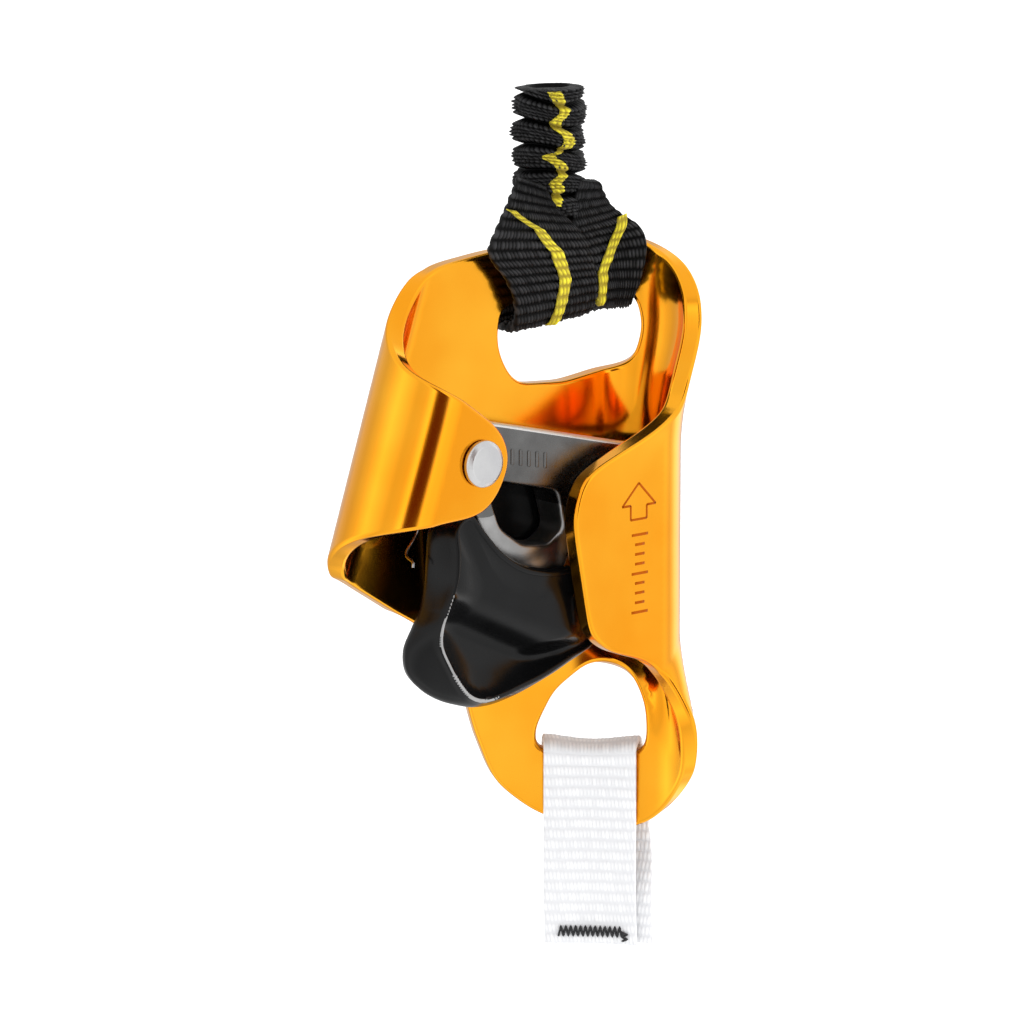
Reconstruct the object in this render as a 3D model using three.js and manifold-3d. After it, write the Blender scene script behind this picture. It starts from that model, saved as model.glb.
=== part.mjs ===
// Chest rope grab: a folded aluminium frame, a toothed cam with a nylon catch, an elastic
// shoulder strap on the upper eye and a sewn webbing loop on the lower eye.
// Units are millimetres. X points to the rope channel, Y to the wearer's chest, Z up the rope.
// Pieces are drawn about the cam axle, then the whole group is set off so that the row's origin
// is the centre of the shoulder strap's upper end, which holds the part up.
import * as THREE from 'three';
import Module from 'manifold-3d';
import { mergeVertices } from 'three/addons/utils/BufferGeometryUtils.js';

// ---- driving dimensions -------------------------------------------------------------------
const SHEET = 3.4;            // frame sheet thickness
const FOLD_R = 6.5;           // inside radius of both folds
const GAP = 0.3;              // clearance between touching pieces
const FOLD_STEPS = 10;
const FLAP_Y = -2 * FOLD_R;   // inside face of both flaps
const LEFT_BEND_X = -7.4;     // where the left fold starts at axle height
const LEFT_SLANT = 18.7;      // lean of the left fold line, degrees
const RIGHT_BEND_X = 42.2;    // where the rope channel fold starts
const TOP_BEND = { x: 41.5, r: 9, from: -4, to: 20 };   // the channel opens out into the upper eye
const TAB = { x: 37.2, y: -3, u: 38, heading: -46, r: 60, from: -28, to: -56,
  lag: 1.1, lagFrom: 49, lipFrom: 50, lipR: 8 };   // its free edge is rolled forward as a lip
const RIVET_R = 2.5;
const SLEEVE_R = 4.0;
const CAM_FRONT = -10.4;
const CAM_REAR = -3.2;
const LINER_RIVET_X = 40.6;
const LINER_RIVETS = [-7.4, -24];
const PIN = { x: 17.0, z: -24.4, r: 1.5 };  // catch pin, carried by the cam
const CATCH_FRONT = -14.2;
const EYE_TOP = 23.4;         // lower edge of the top bar, which carries the shoulder strap
const LOWER_EYE = -59.5;      // upper edge of the bottom bar, which carries the webbing loop
const WEB_T = 1.5;            // webbing thickness
const STRAP_T = 2.2;          // folded shoulder strap thickness
const TUBE = { x: 31.2, y: 1.7, r: 6.4, bottom: 43.5, top: 61, pitch: 4.2 };
const WEB_END = -94.8;

const wasm = await Module();
wasm.setup();
const group = new THREE.Group();
const rad = THREE.MathUtils.degToRad;

// ---- materials ----------------------------------------------------------------------------
const finish = (color, roughness, metalness) =>
  new THREE.MeshStandardMaterial({ color, roughness, metalness });
const anodised = finish(0xf29a1c, 0.25, 1.0);
const stainless = finish(0x8f8d8a, 0.35, 1.0);
const brightSteel = finish(0xd6d6d6, 0.3, 1.0);
const springSteel = finish(0x6f7276, 0.3, 1.0);
const nylon = finish(0x17181a, 0.45, 0.0);
const blackWeb = finish(0x1b1b1d, 0.85, 0.0);
const yellowYarn = finish(0xf2dc1e, 0.8, 0.0);
const whiteWeb = finish(0xf1f1ef, 0.85, 0.0);
const blackThread = finish(0x121214, 0.8, 0.0);
const rubber = finish(0x2a2a2c, 0.9, 0.0);

function add(name, geometry, material) {
  geometry.computeVertexNormals();
  const mesh = new THREE.Mesh(geometry, material);
  mesh.name = name;
  group.add(mesh);
}

// ---- solid helpers ------------------------------------------------------------------------
function merged(geometry) {
  const bare = new THREE.BufferGeometry();
  bare.setAttribute('position', geometry.getAttribute('position').clone());
  if (geometry.index) bare.setIndex(geometry.index.clone());
  return mergeVertices(bare, 1e-4);
}

function solid(geometry) {
  const g = merged(geometry);
  return new wasm.Manifold(new wasm.Mesh({
    numProp: 3,
    vertProperties: new Float32Array(g.getAttribute('position').array),
    triVerts: new Uint32Array(g.index.array),
  }));
}

function geometryOf(body) {
  const m = body.getMesh();
  const g = new THREE.BufferGeometry();
  g.setAttribute('position', new THREE.BufferAttribute(new Float32Array(m.vertProperties), 3));
  g.setIndex(new THREE.BufferAttribute(new Uint32Array(m.triVerts), 1));
  return g;
}

function cut(geometry, ...tools) {
  return geometryOf(tools.reduce((body, tool) => body.subtract(solid(tool)), solid(geometry)));
}

// A polygon whose corners [x, y, radius] are rounded with true arcs.
function rounded(corners, path = new THREE.Shape()) {
  const n = corners.length;
  corners.forEach(([x, y, r = 0], i) => {
    const [px, py] = corners[(i + n - 1) % n];
    const [qx, qy] = corners[(i + 1) % n];
    const a = new THREE.Vector2(px - x, py - y);
    const b = new THREE.Vector2(qx - x, qy - y);
    const half = a.angleTo(b) / 2;
    const reach = Math.min(r / Math.tan(half), 0.48 * a.length(), 0.48 * b.length());
    const start = a.clone().setLength(reach).add(new THREE.Vector2(x, y));
    const end = b.clone().setLength(reach).add(new THREE.Vector2(x, y));
    if (i === 0) path.moveTo(start.x, start.y);
    else path.lineTo(start.x, start.y);
    if (r > 0) path.quadraticCurveTo(x, y, end.x, end.y);
  });
  return path;
}

function circle(x, y, r, count = 28) {
  const at = (i) => new THREE.Vector2(
    x + r * Math.cos((2 * Math.PI * i) / count), y + r * Math.sin((2 * Math.PI * i) / count));
  return new THREE.Shape([...Array(count).keys()].map(at));
}

// Extrudes an X-Z outline along Y, from the front face back to the rear face.
function plate(shape, front, rear, bevel = 0, curveSegments = 10) {
  const { shape: points, holes } = shape.extractPoints(curveSegments);
  const outline = new THREE.Shape(THREE.ShapeUtils.isClockWise(points) ? points.reverse() : points);
  outline.holes = holes.map((h) => new THREE.Path(h));
  const g = new THREE.ExtrudeGeometry(outline, {
    depth: rear - front - 2 * bevel, bevelEnabled: bevel > 0, bevelSize: bevel, bevelOffset: -bevel,
    bevelThickness: bevel, bevelSegments: 2,
  });
  g.rotateX(Math.PI / 2);
  g.translate(0, rear - bevel, 0);
  return g;
}

// A turned piece about the axle; the profile is [radius, y] from front to rear on the axis.
function turned(profile, x = 0, z = 0, segments = 40) {
  const g = new THREE.LatheGeometry(profile.map(([r, y]) => new THREE.Vector2(r, y)), segments);
  g.translate(x, 0, z);
  return g;
}

const tube = (inner, outer, front, rear, x = 0, z = 0) =>
  turned([[inner, front], [outer, front], [outer, rear], [inner, rear], [inner, front]], x, z);

// ---- the folded sheet ---------------------------------------------------------------------
const slantSin = Math.sin(rad(LEFT_SLANT));
const slantCos = Math.cos(rad(LEFT_SLANT));
const leftRun = (u, v) => -(u - LEFT_BEND_X) * slantCos + v * slantSin;

function rolled(run, r) {
  const angle = Math.min(Math.max(run, 0) / r, Math.PI);
  const rest = Math.max(run, 0) - angle * r;
  return [r * Math.sin(angle) + rest * Math.cos(angle), r * (1 - Math.cos(angle))];
}

function rolledRight(u, start, r) {
  const [out, forward] = rolled(u - start, r);
  return u > start ? [start + out, -forward] : [u, 0];
}

// Lower tab: the sheet turns its face towards the channel side along a large arc.
function rolledTab(u) {
  const h = rad(TAB.heading);
  const a = h - (Math.min(u, TAB.lipFrom) - TAB.u) / TAB.r;
  const b = a - Math.max(u - TAB.lipFrom, 0) / TAB.lipR;
  return [
    TAB.x - (Math.sin(a) - Math.sin(h)) * TAB.r - (Math.sin(b) - Math.sin(a)) * TAB.lipR,
    TAB.y + (Math.cos(a) - Math.cos(h)) * TAB.r + (Math.cos(b) - Math.cos(a)) * TAB.lipR];
}

const ease = (v, from, to) => THREE.MathUtils.smoothstep((v - from) / (to - from), 0, 1);

// Inner surface of the folded sheet, from its flat pattern position.
function folded(u, v) {
  const run = leftRun(u, v);
  if (run > 0) {
    const [out, forward] = rolled(run, FOLD_R);
    return new THREE.Vector3(
      u + run * slantCos - out * slantCos, -forward, v - run * slantSin + out * slantSin);
  }
  const top = ease(v, TOP_BEND.from, TOP_BEND.to);
  const lag = TAB.lag * Math.max(u - TAB.lagFrom, 0);
  const low = ease(v + lag, TAB.from, TAB.to);
  const parts = [rolledRight(u, RIGHT_BEND_X, FOLD_R), rolledRight(u, TOP_BEND.x, TOP_BEND.r),
    rolledTab(u)];
  const share = [1 - top - low, top, low];
  const mix = (k) => parts.reduce((sum, p, i) => sum + p[k] * share[i], 0);
  return new THREE.Vector3(mix(0), mix(1), v);
}

// Point at depth w behind the inner surface.
function sheetPoint(u, v, w) {
  const e = 0.01;
  const du = folded(u + e, v).sub(folded(u - e, v));
  const dv = folded(u, v + e).sub(folded(u, v - e));
  return folded(u, v).addScaledVector(dv.cross(du).normalize(), w);
}

// Splits every triangle that crosses the zero line of f(u, v).
function score(triangles, f) {
  const result = [];
  const cutPoint = (p, q) => {
    const [a, b] = p[0] < q[0] || (p[0] === q[0] && p[1] < q[1]) ? [p, q] : [q, p];
    const fa = f(...a);
    const t = fa / (fa - f(...b));
    return [a[0] + (b[0] - a[0]) * t, a[1] + (b[1] - a[1]) * t];
  };
  for (const tri of triangles) {
    const s = tri.map((p) => { const d = f(...p); return Math.abs(d) < 1e-4 ? 0 : Math.sign(d); });
    if (Math.max(...s) <= 0 || Math.min(...s) >= 0) { result.push(tri); continue; }
    const onLine = s.indexOf(0);
    const k = onLine >= 0 ? onLine : s.findIndex((x) => s.filter((y) => y === x).length === 1);
    const [a, b, c] = [tri[k], tri[(k + 1) % 3], tri[(k + 2) % 3]];
    if (onLine >= 0) {
      const m = cutPoint(b, c);
      result.push([a, b, m], [a, m, c]);
    } else {
      const m = cutPoint(a, b);
      const n = cutPoint(a, c);
      result.push([a, m, n], [m, b, c], [m, c, n]);
    }
  }
  return result;
}

// Lines across the flat pattern where the sheet bends, as signed distances.
function scoreLines() {
  const lines = [leftRun];
  for (let v = TOP_BEND.from; v < 33; v += 4) lines.push((u, w) => w - v);
  for (let v = TAB.from; v > -72; v -= 2.6) lines.push((u, w) => w - v);
  for (let u = 14; u < 40; u += 4) lines.push((x) => x - u);
  for (let u = TAB.lipFrom; u < 60; u += 2) lines.push((x) => x - u);
  for (let i = 0; i <= FOLD_STEPS; i += 1) {
    const run = (Math.PI * FOLD_R * i) / FOLD_STEPS;
    lines.push((u) => u - RIGHT_BEND_X - run);
    if (i > 0) lines.push((u, v) => leftRun(u, v) - run);
  }
  return lines;
}

const flatKey = (p) => `${p[0].toFixed(4)},${p[1].toFixed(4)}`;

// Directed edges of a set of triangles that no neighbour in the set shares.
function rim(triangles) {
  const edges = new Map();
  for (const t of triangles) {
    for (let i = 0; i < 3; i += 1) {
      const [a, b] = [t[i], t[(i + 1) % 3]];
      if (flatKey(a) !== flatKey(b)) edges.set(`${flatKey(a)};${flatKey(b)}`, [a, b]);
    }
  }
  return [...edges.values()].filter(([a, b]) => !edges.has(`${flatKey(b)};${flatKey(a)}`));
}

function loopsOf(edges) {
  const next = new Map(edges.map(([a, b]) => [flatKey(a), b]));
  const loops = [];
  while (next.size) {
    const first = next.keys().next().value;
    const loop = [];
    for (let k = first; next.has(k);) {
      const p = next.get(k);
      next.delete(k);
      loop.push(p);
      k = flatKey(p);
    }
    loops.push(loop);
  }
  return loops;
}

// Joins the slivers between score lines into whole facets with as few triangles as possible.
function regroup(triangles, lines) {
  const edge = new Set(rim(triangles).flat().map(flatKey));
  const cells = new Map();
  for (const t of triangles) {
    const c = [0, 1].map((k) => (t[0][k] + t[1][k] + t[2][k]) / 3);
    const side = lines.map((f) => (f(...c) > 0 ? 1 : 0)).join('');
    cells.set(side, [...(cells.get(side) ?? []), t]);
  }
  const crossing = (p) => lines.filter((f) => Math.abs(f(...p)) < 1e-3).length > 1;
  return [...cells.values()].flatMap((cell) => loopsOf(rim(cell)).flatMap((loop) => {
    const corners = loop.filter((p) => edge.has(flatKey(p)) || crossing(p));
    const contour = corners.map((p) => new THREE.Vector2(...p));
    return THREE.ShapeUtils.triangulateShape(contour, []).map((f) => f.map((i) => corners[i]));
  }));
}

// Folds a flat pattern into a closed sheet between the depths near and far.
function foldedSheet(shape, near, far, lines) {
  const { shape: outer, holes } = shape.extractPoints(5);
  const points = [...outer, ...holes.flat()];
  const faces = THREE.ShapeUtils.triangulateShape(outer, holes);
  let tris = faces.map((f) => f.map((i) => [points[i].x, points[i].y]));
  for (const line of lines) tris = score(tris, line);
  tris = regroup(tris, lines);
  const ids = new Map();
  const flat = [];
  const id = (p) => {
    const k = flatKey(p);
    if (!ids.has(k)) { ids.set(k, flat.length); flat.push(p); }
    return ids.get(k);
  };
  const index = tris.map((t) => t.map(id)).filter((t) => new Set(t).size === 3);
  const n = flat.length;
  const position = [near, far].flatMap((w) => flat.flatMap((p) => sheetPoint(...p, w).toArray()));
  const edges = new Set(index.flatMap(([a, b, c]) => [[a, b], [b, c], [c, a]].map((e) => e.join())));
  const walls = [...edges].map((e) => e.split(',').map(Number))
    .filter(([a, b]) => !edges.has(`${b},${a}`))
    .flatMap(([a, b]) => [[a, a + n, b + n], [a, b + n, b]]);
  const faceList = [...index, ...index.map(([a, b, c]) => [a + n, c + n, b + n]), ...walls];
  const g = new THREE.BufferGeometry();
  g.setAttribute('position', new THREE.Float32BufferAttribute(position, 3));
  g.setIndex(faceList.flat());
  return g;
}

function framePattern() {
  const shape = rounded([
    [17, 33.2, 14], [48, 33.6, 10], [56, 29, 8], [62.8, 21, 8], [61.2, 12, 8], [59.4, 5, 6],
    [66.5, 0.6, 8], [81.5, -6, 4], [83.6, -13, 5], [79.5, -34.3, 3.5], [75, -37.8, 6],
    [64.5, -41.2, 8], [61, -45.5, 6], [57.8, -54, 8], [55.5, -63, 10], [50, -72, 8],
    [40, -75, 10], [28, -71, 9], [20.5, -65, 9], [16.5, -54, 8], [11.5, -39, 9],
    [-17.4, -20.6, 2.2], [-23.4, -10.8, 8], [-31, -2.4, 8], [-40.2, 5, 8], [-38.6, 15.6, 7],
    [-33, 18.2, 5], [-14, 17.6, 9], [-5, 24, 9], [2.5, 31.6, 9],
  ]);
  shape.holes.push(rounded([
    [18.8, EYE_TOP, 3], [17.8, 16, 9], [22, 9, 6], [34, 8.2, 9], [48.2, 10, 4], [49.8, 17, 4],
    [48.6, EYE_TOP, 3]], new THREE.Path()));
  shape.holes.push(rounded([
    [28, -55.5, 4], [31.4, -48.2, 6], [38.4, -43, 7], [46, -43.6, 6], [48, -50.5, 6],
    [48, LOWER_EYE, 2.5], [28, LOWER_EYE, 2.5]], new THREE.Path()));
  return shape;
}

function buildFrame() {
  const blank = foldedSheet(framePattern(), 0, SHEET, scoreLines());
  const bore = turned([[0, -20], [RIVET_R + GAP, -20], [RIVET_R + GAP, 8], [0, 8]]);
  add('frame', cut(blank, bore, ...LINER_RIVETS.map((z) => rivetBore(z, 1.2 + GAP))), anodised);
}

const rivetBore = (z, r) => turned([[0, -4], [r, -4], [r, 8], [0, 8]], LINER_RIVET_X, z, 20);

// Stainless liner inside the rope channel, bent like the frame and set off by the gap.
function buildLiner() {
  const shape = rounded([[39, -4, 1], [72, -4, 1], [78, -8, 1], [77, -33, 1], [66, -36, 2],
    [60, -36, 2], [39, -27, 1]]);
  const sheet = foldedSheet(shape, -GAP - 0.6, -GAP, channelLines());
  add('channel_liner', cut(sheet, ...LINER_RIVETS.map((z) => rivetBore(z, 1.2 + GAP))), stainless);
  LINER_RIVETS.forEach((z, i) => add(`liner_rivet_${i + 1}`, turned([[0, -1.7], [2, -1.7],
    [2, -1.2], [1.2, -1.2], [1.2, SHEET + GAP], [2.2, SHEET + GAP], [1.8, SHEET + 1], [0, SHEET + 1]],
  LINER_RIVET_X, z, 20), brightSteel));
}

function channelLines() {
  const lines = [(u, w) => w - TAB.from];
  for (let i = 0; i <= FOLD_STEPS; i += 1) {
    lines.push((u) => u - RIGHT_BEND_X - (Math.PI * FOLD_R * i) / FOLD_STEPS);
  }
  return lines;
}

// ---- cam, axle and spring -----------------------------------------------------------------
// The gripping face is an arc about the axle that gains reach towards its lower end.
function toothedFace() {
  const teeth = [];
  for (let i = 0; i < 9; i += 1) {
    const z = -5.2 - 1.9 * i;
    const reach = 45.4 - 0.02 * (z + 13) ** 2;
    teeth.push([reach - 1.1, z - 0.2], [reach, z - 0.9 + 0.6]);
  }
  return teeth;
}

function camShape() {
  const shape = new THREE.Shape();
  shape.absarc(0, 0, 7.4, -Math.PI / 2, -1.5 * Math.PI, true);
  shape.lineTo(8, 5.2);
  shape.lineTo(43.6, -3.2);
  for (const [x, z] of toothedFace()) shape.lineTo(x, z);
  shape.lineTo(43.2, -22.8);
  shape.quadraticCurveTo(40, -25, 35, -24);
  shape.lineTo(26, -20.4);
  shape.quadraticCurveTo(23.4, -28.4, 17, -28.4);
  shape.quadraticCurveTo(12.6, -28, 12.6, -22);
  shape.quadraticCurveTo(8, -18.5, 3.4, -10);
  shape.quadraticCurveTo(1.8, -7.6, 0.6, -7.38);
  shape.holes.push(circle(0, 0, SLEEVE_R + 0.08), circle(PIN.x, PIN.z, PIN.r + GAP));
  shape.holes.push(rounded([[6.4, -4.6, 1.5], [22.6, -8.6, 1.5], [24.8, -16, 2], [21.4, -18.2, 2],
    [15, -17.3, 4], [9.6, -13.6, 5]], new THREE.Path()));
  return shape;
}

function buildCam() {
  const body = plate(camShape(), CAM_FRONT, CAM_REAR, 0.5, 8);
  const mark = plate(rounded([[12.5, 0.6, 1], [21, -1.4, 1], [20.2, -5, 1], [11.7, -3, 1]]),
    CAM_FRONT - 1, CAM_FRONT + 0.5);
  add('cam', cut(body, mark), stainless);
}

function buildAxle() {
  const front = FLAP_Y - SHEET;
  const rear = SHEET;
  const head = 4.1;
  add('axle_rivet', turned([[0, front - 1.7], [head - 0.7, front - 1.7], [head, front - 1.1],
    [head, front - GAP], [RIVET_R, front - GAP], [RIVET_R, rear + 1.3], [head, rear + 1.3],
    [head, rear + 2.1], [head - 0.7, rear + 2.6], [0, rear + 2.6]]), brightSteel);
  add('rivet_washer', tube(RIVET_R + GAP, 5.6, rear + GAP, rear + 1), brightSteel);
  add('axle_sleeve', tube(RIVET_R + GAP, SLEEVE_R, FLAP_Y + GAP, -GAP), brightSteel);
  add('washer_front', tube(SLEEVE_R + GAP, 7, FLAP_Y + GAP, CAM_FRONT - GAP), springSteel);
}

// A round wire swept along a smooth path through the given points.
function wire(points, r, steps, sides = 6) {
  const path = new THREE.CatmullRomCurve3(points.map((p) => new THREE.Vector3(...p)));
  return new THREE.ExtrudeGeometry(circle(0, 0, r, sides), {
    steps, extrudePath: path, bevelEnabled: false });
}

function coilPoints(r, turns, from, to, start, perTurn = 12) {
  const n = Math.round(turns * perTurn);
  return [...Array(n + 1).keys()].map((i) => {
    const a = start + (2 * Math.PI * i) / perTurn;
    return [r * Math.cos(a), from + ((to - from) * i) / n, r * Math.sin(a)];
  });
}

function buildCamSpring() {
  const coil = coilPoints(5.2, 2, -0.8, -2.4, rad(150));
  const tail = [[-9.5, -0.8, -3], [-7.4, -0.8, 0]];
  const arm = [[-2.2, -2.5, 6.4], [2.5, -2.6, 6.9], [7, -2.6, 3.6]];
  add('cam_spring', wire([...tail, ...coil, ...arm.slice(1)], 0.4, 90), springSteel);
}

// ---- catch --------------------------------------------------------------------------------
const catchOutline = () => rounded([[-5.2, -15, 3], [-5.6, -25, 6], [-11.6, -32, 5],
  [-9.5, -39, 7], [-2, -43.8, 7], [8, -45, 9], [20, -42.4, 7], [33.6, -36.8, 3], [29.5, -25.5, 4],
  [26, -20.8, 2], [15, -20.2, 5], [8.4, -15.4, 4], [3.4, -9.8, 2], [-3, -9.8, 3]]);

// The cheek behind the cam closes the back of its window.
const cheekOutline = () => rounded([[6.6, -5, 2], [22, -7, 3], [28, -15, 3], [27.5, -30, 3],
  [2, -30, 3], [1, -14, 4], [5, -9.6, 2]]);

function turnedAboutPin(geometry, degrees) {
  geometry.translate(-PIN.x, 0, -PIN.z);
  geometry.rotateY(rad(degrees));
  geometry.translate(PIN.x, 0, PIN.z);
  return geometry;
}

// Room for the cam tail through the whole swing of the catch.
function tailRoom(degrees) {
  const room = rounded([[1.6, -2], [1.8, -8], [3, -10.6], [5.2, -14.6], [7.6, -18.1], [11.8, -22.8],
    [11.8, -26, 3], [14, -29.2, 3], [22.4, -29.2, 4], [27.6, -21.6], [40, -26], [40, -2]]);
  return turnedAboutPin(plate(room, CAM_FRONT - GAP, CAM_REAR + GAP, 0, 4), degrees);
}

function buildCatch() {
  const body = solid(plate(catchOutline(), CATCH_FRONT, -5, 1.6, 5))
    .add(solid(plate(cheekOutline(), -5.5, -0.8, 0, 5)));
  const hollow = new THREE.SphereGeometry(1, 24, 16);
  hollow.scale(14, 8.5, 9.6);
  hollow.rotateY(rad(-18));
  hollow.translate(10, CATCH_FRONT - 2.6, -34);
  const bore = turned([[0, -12.4], [PIN.r + 0.08, -12.4], [PIN.r + 0.08, 4], [0, 4]], PIN.x, PIN.z, 24);
  const underFlap = plate(rounded([[22.5, -48], [40, -48], [40, -4], [22.5, -4]]), -20, -11.8);
  const nearHub = plate(circle(0, 0, 21.5, 36), -20, -12.4);
  const tools = [hollow, bore, underFlap, nearHub, ...[0, 4, 8, 12].map(tailRoom)];
  add('catch', geometryOf(tools.reduce((b, t) => b.subtract(solid(t)), body)), nylon);
  add('catch_spring', wire([[-7.2, -8.4, -19.4], [-6, -8.4, -16.6], [-3, -9, -9.2], [2, -9.6, -8.6]]
    , 0.35, 24), springSteel);
  add('catch_pin', turned([[0, -12.1], [PIN.r, -12.1], [PIN.r, -1.2], [0, -1.2]], PIN.x, PIN.z, 24),
    brightSteel);
}

// ---- webbing ------------------------------------------------------------------------------
// Thickens a surface given over along = 0..1 and across = 0..1 into a closed band.
function band(surface, along, across, thickness) {
  const e = 1e-3;
  const side = (k) => [...Array((along + 1) * (across + 1)).keys()].flatMap((i) => {
    const a = Math.floor(i / (across + 1)) / along;
    const b = (i % (across + 1)) / across;
    const da = surface(Math.min(a + e, 1), b).sub(surface(Math.max(a - e, 0), b));
    const db = surface(a, Math.min(b + e, 1)).sub(surface(a, Math.max(b - e, 0)));
    return surface(a, b).addScaledVector(da.cross(db).normalize(), (k * thickness) / 2).toArray();
  });
  const n = (along + 1) * (across + 1);
  const faces = [];
  const quad = (a, b, c, d) => faces.push(a, b, c, a, c, d);
  for (let i = 0; i < along; i += 1) {
    for (let j = 0; j < across; j += 1) {
      const p = i * (across + 1) + j;
      quad(p, p + across + 1, p + across + 2, p + 1);
      quad(p + n, p + n + 1, p + n + across + 2, p + n + across + 1);
    }
    const [l, r] = [i * (across + 1), i * (across + 1) + across];
    quad(l, l + n, l + n + across + 1, l + across + 1);
    quad(r + across + 1, r + n + across + 1, r + n, r);
  }
  for (let j = 0; j < across; j += 1) {
    const end = along * (across + 1) + j;
    quad(j + 1, j + 1 + n, j + n, j);
    quad(end, end + n, end + 1 + n, end + 1);
  }
  const g = new THREE.BufferGeometry();
  g.setAttribute('position', new THREE.Float32BufferAttribute([...side(1), ...side(-1)], 3));
  g.setIndex(faces);
  return g;
}

// A band through stations; each station is a list of points across the webbing.
function through(stations) {
  const rails = stations[0].map((_, j) => new THREE.CatmullRomCurve3(
    stations.map((row) => row[j]), false, 'centripetal'));
  return (a, b) => new THREE.CatmullRomCurve3(rails.map((r) => r.getPoint(a))).getPoint(b);
}

// One station on the sheet: from u0 to u1 at height v0 to v1, at depth w from its front face.
const station = ([u0, u1, v0, v1, w]) => [0, 0.5, 1].map((t) =>
  sheetPoint(u0 + (u1 - u0) * t, v0 + (v1 - v0) * t, w));

const FRONT_W = -(STRAP_T / 2 + 0.5);
const REAR_W = SHEET + STRAP_T / 2 + 0.5;

// The strap ends pass down behind the top bar, under it through the eye and up its front.
function lobe(bottom, rear, front) {
  const [u0, u1] = bottom;
  const under = EYE_TOP - STRAP_T / 2 - 0.7;
  return through([...rear, [u0, u1, 24.6, 24.6, REAR_W], [u0, u1, under, under, SHEET + 0.5],
    [u0, u1, under, under, -0.5], [u0, u1, 24.6, 24.6, FRONT_W], ...front].map(station));
}

function tracer(surface, name, from, to, across) {
  const lift = (a, b) => {
    const at = from + (to - from) * a;
    const e = 1e-3;
    const da = surface(at + e, across).sub(surface(at - e, across));
    const db = surface(at, across + 0.05).sub(surface(at, across - 0.05));
    const out = da.clone().cross(db).normalize().multiplyScalar(-(STRAP_T / 2 + GAP + 0.25));
    return surface(at, across).addScaledVector(db.normalize(), (b - 0.5) * 1.8).add(out);
  };
  add(name, band(lift, 16, 2, 0.5), yellowYarn);
}

function buildStrap() {
  const left = lobe([19.5, 37.2], [[27, 35, 41, 41, REAR_W + 1], [23, 37, 34, 34, REAR_W]],
    [[16.5, 36.8, 28, 27.4, FRONT_W], [12.4, 34, 35.4, 33.4, FRONT_W - 0.4],
      [15.4, 31.4, 39.6, 36.8, FRONT_W - 1.4], [19.6, 26, 45, 42.6, FRONT_W - 3.4]]);
  const right = lobe([38.3, 47.4], [[37.2, 42, 41, 41, REAR_W + 1], [38.3, 46, 34, 34, REAR_W]],
    [[38, 48, 28, 28, FRONT_W], [37, 47.6, 31.4, 32, FRONT_W],
      [35.4, 44, 36, 36.4, FRONT_W - 0.6], [34.2, 38.6, 42, 42.4, FRONT_W - 2.6]]);
  add('strap_lobe_left', band(left, 40, 4, STRAP_T), blackWeb);
  add('strap_lobe_right', band(right, 40, 3, STRAP_T), blackWeb);
  tracer(left, 'tracer_left', 0.52, 0.88, 0.5);
  tracer(right, 'tracer_right', 0.52, 0.88, 0.4);
}

// Gathered elastic sleeve: a row of rounded ruffles around a rubber core.
function buildSleeve() {
  const { x, y, r, bottom, top, pitch } = TUBE;
  const ruffles = Math.round((top - bottom) / pitch);
  const rows = ruffles * 6;
  const at = (i) => bottom + ((top - bottom) * i) / rows;
  const outer = [...Array(rows + 1).keys()].map((i) =>
    [r - 1.3 * Math.abs(Math.cos((Math.PI * i) / 6)) ** 3, at(i)]);
  const sleeve = turned([[4.1, bottom], ...outer, [4.1, top], [4.1, bottom]], 0, 0, 28);
  const core = turned([[0, bottom + 0.5], [3.8, bottom + 0.5], [3.8, top - 0.6], [0, top - 0.6]]);
  for (const g of [sleeve, core]) {
    g.rotateX(Math.PI / 2);
    g.scale(1, 0.8, 1);
    g.translate(x, y, 0);
  }
  add('strap_sleeve', sleeve, blackWeb);
  add('strap_core', core, rubber);
  const yarn = (a, b) => new THREE.Vector3(x - 1.4 + 1.8 * b + 0.8 * Math.sin(a * 26),
    y - 0.8 * (r + GAP) - 0.35, bottom + 2 + (top - bottom - 2.5) * a);
  add('tracer_sleeve', band(yarn, 32, 1, 0.5), yellowYarn);
  const tail = new THREE.BoxGeometry(11, 3, 8.2);
  tail.translate(x + 1, SHEET / 2, 38.2);
  add('strap_tail', tail, rubber);
}

// ---- lower webbing loop -------------------------------------------------------------------
function buildWebbing() {
  const [u0, u1] = [29.4, 46.6];
  const half = WEB_T / 2;
  const top = LOWER_EYE + half + 0.4;
  const front = -half - 0.5;
  const rear = SHEET + half + 0.5;
  const row = (v, w, shift = 0) => station([u0 + shift, u1 + shift, v, v, w]);
  const loop = through([row(WEB_END, front, 0.3), row(-84, front), row(-72, front), row(-62, front),
    row(top - 0.6, front + 0.1), row(top, SHEET / 2 - 1), row(top, SHEET / 2 + 1),
    row(top - 0.6, rear - 0.1), row(-62, rear), row(-72, rear, 0.6), row(-79, rear - 0.3, 1.2),
    row(-86, front + WEB_T + 0.7, 1.9), row(WEB_END, front + WEB_T + 0.4, 2.2)]);
  add('web_loop', band(loop, 64, 3, WEB_T), whiteWeb);
  const tack = (a, b) => sheetPoint(u0 + 2.6 + 12.6 * a, -92.6 + 1.4 * (b - 0.5), front - half - 0.6);
  add('web_bartack', band(tack, 8, 1, 0.6), blackThread);
}

buildFrame();
buildLiner();
buildCam();
buildAxle();
buildCamSpring();
buildCatch();
buildStrap();
buildSleeve();
buildWebbing();

group.position.set(-TUBE.x, -TUBE.y, -TUBE.top);

export default group;
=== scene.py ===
"""Visual model of a chest rope grab: folded anodised sheet, steel cam, nylon catch and webbing.

Shapes are drawn in millimetres about the cam axle, as the CAD model is, and moved to the row frame
when a mesh is made. X points to the rope channel, Y to the wearer's chest and Z up the rope.
"""

import math

import bmesh
import bpy
import numpy as np
from mathutils import Matrix, Vector
from mathutils.geometry import delaunay_2d_cdt


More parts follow.
